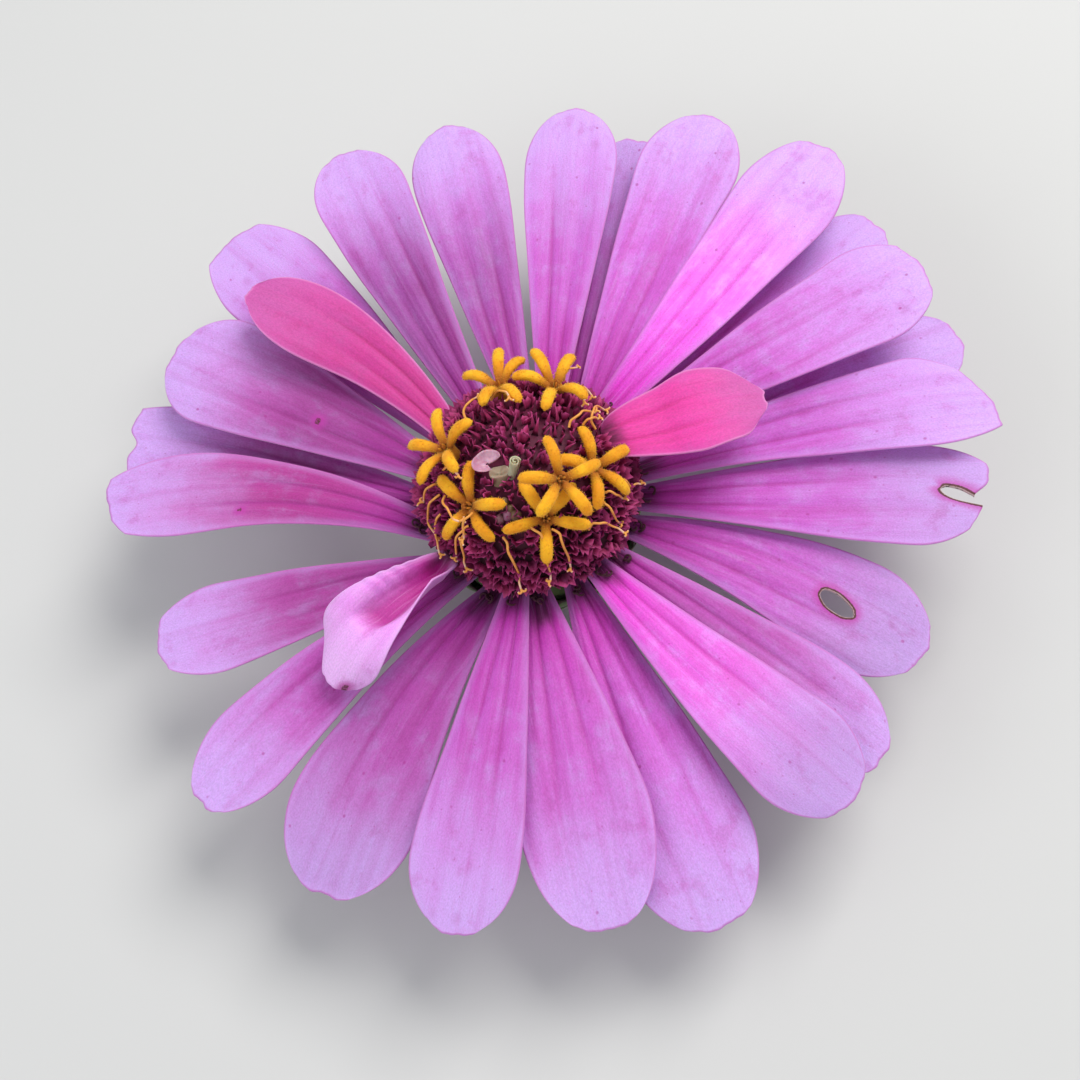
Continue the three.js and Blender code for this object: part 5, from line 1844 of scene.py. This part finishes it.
BRACT_FINISH = green_finish("bract_green", (0.20, 0.32, 0.09), (0.09, 0.17, 0.04), (0.035, 0.010, 0.012), 4.0)
STALK_FINISH = green_finish("stalk_green", (0.30, 0.42, 0.14), (0.16, 0.26, 0.07), (0.55, 0.60, 0.38), 2.0)
print("green finishes:", BRACT_FINISH.name, STALK_FINISH.name)

# %% The form of the cup
STALK_RADIUS, STALK_TOP = 3.6, 3.4
CUP_BOTTOM, CUP_RIM, CUP_RADIUS = 3.7, 13.4, 9.6
BRACT_GRID = 22                  # points each way on a bract
NO_EDGE = 9.0                    # millimetres from the margin, where there is none
BRACT_ROWS = (                   # count, height of the foot, length, width, spin in degrees
    (8, 4.6, 4.6, 5.0, 10),
    (11, 6.8, 4.8, 5.4, 0),
    (13, 9.0, 4.6, 5.4, 14),
)


def cup_radius(height):
    s = np.clip((height - CUP_BOTTOM) / (CUP_RIM - CUP_BOTTOM), 0, 1)
    return STALK_RADIUS + 0.6 + (CUP_RADIUS - STALK_RADIUS - 0.6) * np.sin(np.pi / 2 * s) ** 0.75


def bract_guide(row, index):
    """One bract at azimuth 0: a rounded shield, thick in its middle and thin at its rim."""
    _, foot, length, width, _ = row
    t, v = grid_of(np.linspace(0, 1, BRACT_GRID), np.linspace(-1, 1, BRACT_GRID))
    height = np.minimum(foot + length * t, CUP_RIM + 0.35 * t)
    half = width / 2 * np.sqrt(1 - (0.985 * t) ** 2.6)
    base = cup_radius(height)
    turn = np.degrees(v * half / base)
    veins = 0.035 * np.cos(16 * v) * (1 - t)
    bulge = 0.2 + 0.7 * t + 0.44 * (1 - v * v) + veins
    hollow = np.maximum(bulge - 0.16 - 0.5 * (1 - t) * (1 - v * v), -0.6 + 0.8 * t)
    points = np.concatenate([polar(base + reach, turn, height) for reach in (bulge, hollow)])
    faces = close_sheet(grid_faces(BRACT_GRID, BRACT_GRID)[:, ::-1], len(t))
    edge = np.minimum((1 - np.abs(v)) * half, (1 - t) * length)
    marks = {"leaf_at": both(np.column_stack((v * half + 20 * index, t * length, edge)))}
    return new_mesh(f"bract_guide_{index}", points, faces, None, marks)


def cup_core():
    heights = np.linspace(CUP_BOTTOM, CUP_RIM, 24)
    profile = [(0.0, CUP_BOTTOM)] + list(zip(cup_radius(heights), heights)) + [(0.0, CUP_RIM)]
    points, faces = lathe(profile, 48)
    angle = np.arctan2(points[:, 1], points[:, 0])
    marks = np.column_stack((angle * 8, points[:, 2], np.full(len(points), NO_EDGE)))
    return new_mesh("cup_core", points, faces, BRACT_FINISH, {"leaf_at": marks})


print("radius of the cup at its rim in mm:", cup_radius(CUP_RIM))

# %% Build the cup
dress("cup_core", cup_core(), "bract_green", "bract_cup")
for index, row in enumerate(BRACT_ROWS, 1):
    values = {"Count": row[0], "Spin": float(np.radians(row[4])), "Finish": BRACT_FINISH}
    mesh = grow(f"bract_row_{index}", RING, bract_guide(row, index), values)
    mesh.shade_smooth()
    dress(f"bract_row_{index}", mesh, "bract_green", "bract_cup")
print("bracts:", sum(row[0] for row in BRACT_ROWS))

# %% The stalk and its hairs
STALK_RIBS, RIB_SHARE = 11, 0.022
STALK_SWELL = 0.4                # millimetres wider under the cup
STALK_SIDES = 132
HAIR_COUNT = 420


def stalk_radius(height):
    return STALK_RADIUS + STALK_SWELL * (height / STALK_TOP) ** 2


def stalk_mesh():
    turn = circle(STALK_SIDES)
    rows = [(0.0, 0.0), (STALK_RADIUS - 0.35, 0.0), (STALK_RADIUS - 0.12, 0.06)]
    rows += [(stalk_radius(height), height) for height in np.linspace(0.25, STALK_TOP, 16)]
    rows += [(0.0, STALK_TOP)]
    rings, marks = [], []
    for radius, height in rows:
        ribs = 1 + RIB_SHARE * np.cos(STALK_RIBS * turn) * (radius > 1)
        reach = max(radius, 0.02) * ribs
        rings.append(oval(turn, reach, reach, height))
        edge = NO_EDGE if height > 0 else 0.0
        marks.append([(angle * radius, height, edge) for angle in turn])
    faces = ring_faces(len(rings), STALK_SIDES)
    return new_mesh("stalk", np.concatenate(rings), faces, STALK_FINISH, {"leaf_at": np.concatenate(marks)})


def stalk_hairs():
    draw = np.random.default_rng(31)
    azimuth = draw.uniform(0, 360, HAIR_COUNT)
    height = draw.uniform(0.35, STALK_TOP - 0.1, HAIR_COUNT)
    radius = stalk_radius(height) * (1 + RIB_SHARE * np.cos(STALK_RIBS * np.radians(azimuth)))
    outward = polar(1.0, azimuth, 0.0)
    axis = unit(outward + UP * 0.35 + draw.normal(0, 0.15, (HAIR_COUNT, 3)))
    parts = [hair_part(f"stalk_hair_{k}", 0.55 + 0.2 * k, HAIR_RADIUS) for k in range(3)]
    guides = (polar(radius - 0.02, azimuth, height), axis, np.cross(outward, UP), np.ones(HAIR_COUNT))
    return scatter("stalk_hairs", guides, parts, HAIR_FINISH, 32, 0.35, ALL_ROUND)


HAIR_FINISH = strand_finish("pale_hair", (0.62, 0.68, 0.46), (0.80, 0.82, 0.68), 0.4)
dress("stalk", stalk_mesh(), "stalk_skin", "cut_stalk")
dress("stalk_hairs", stalk_hairs(), "stalk_skin", "cut_stalk")
print("stalk ribs:", STALK_RIBS, "hairs:", HAIR_COUNT)

# %% Compare the dressed flower with its solids
visual_box = [list(corner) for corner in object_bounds()]
spread = [[round((b - a) / MM, 2) for a, b in zip(*pair)] for pair in zip(cad_box, visual_box)]
print("the dressed box departs from the solids' box, in mm:", spread)
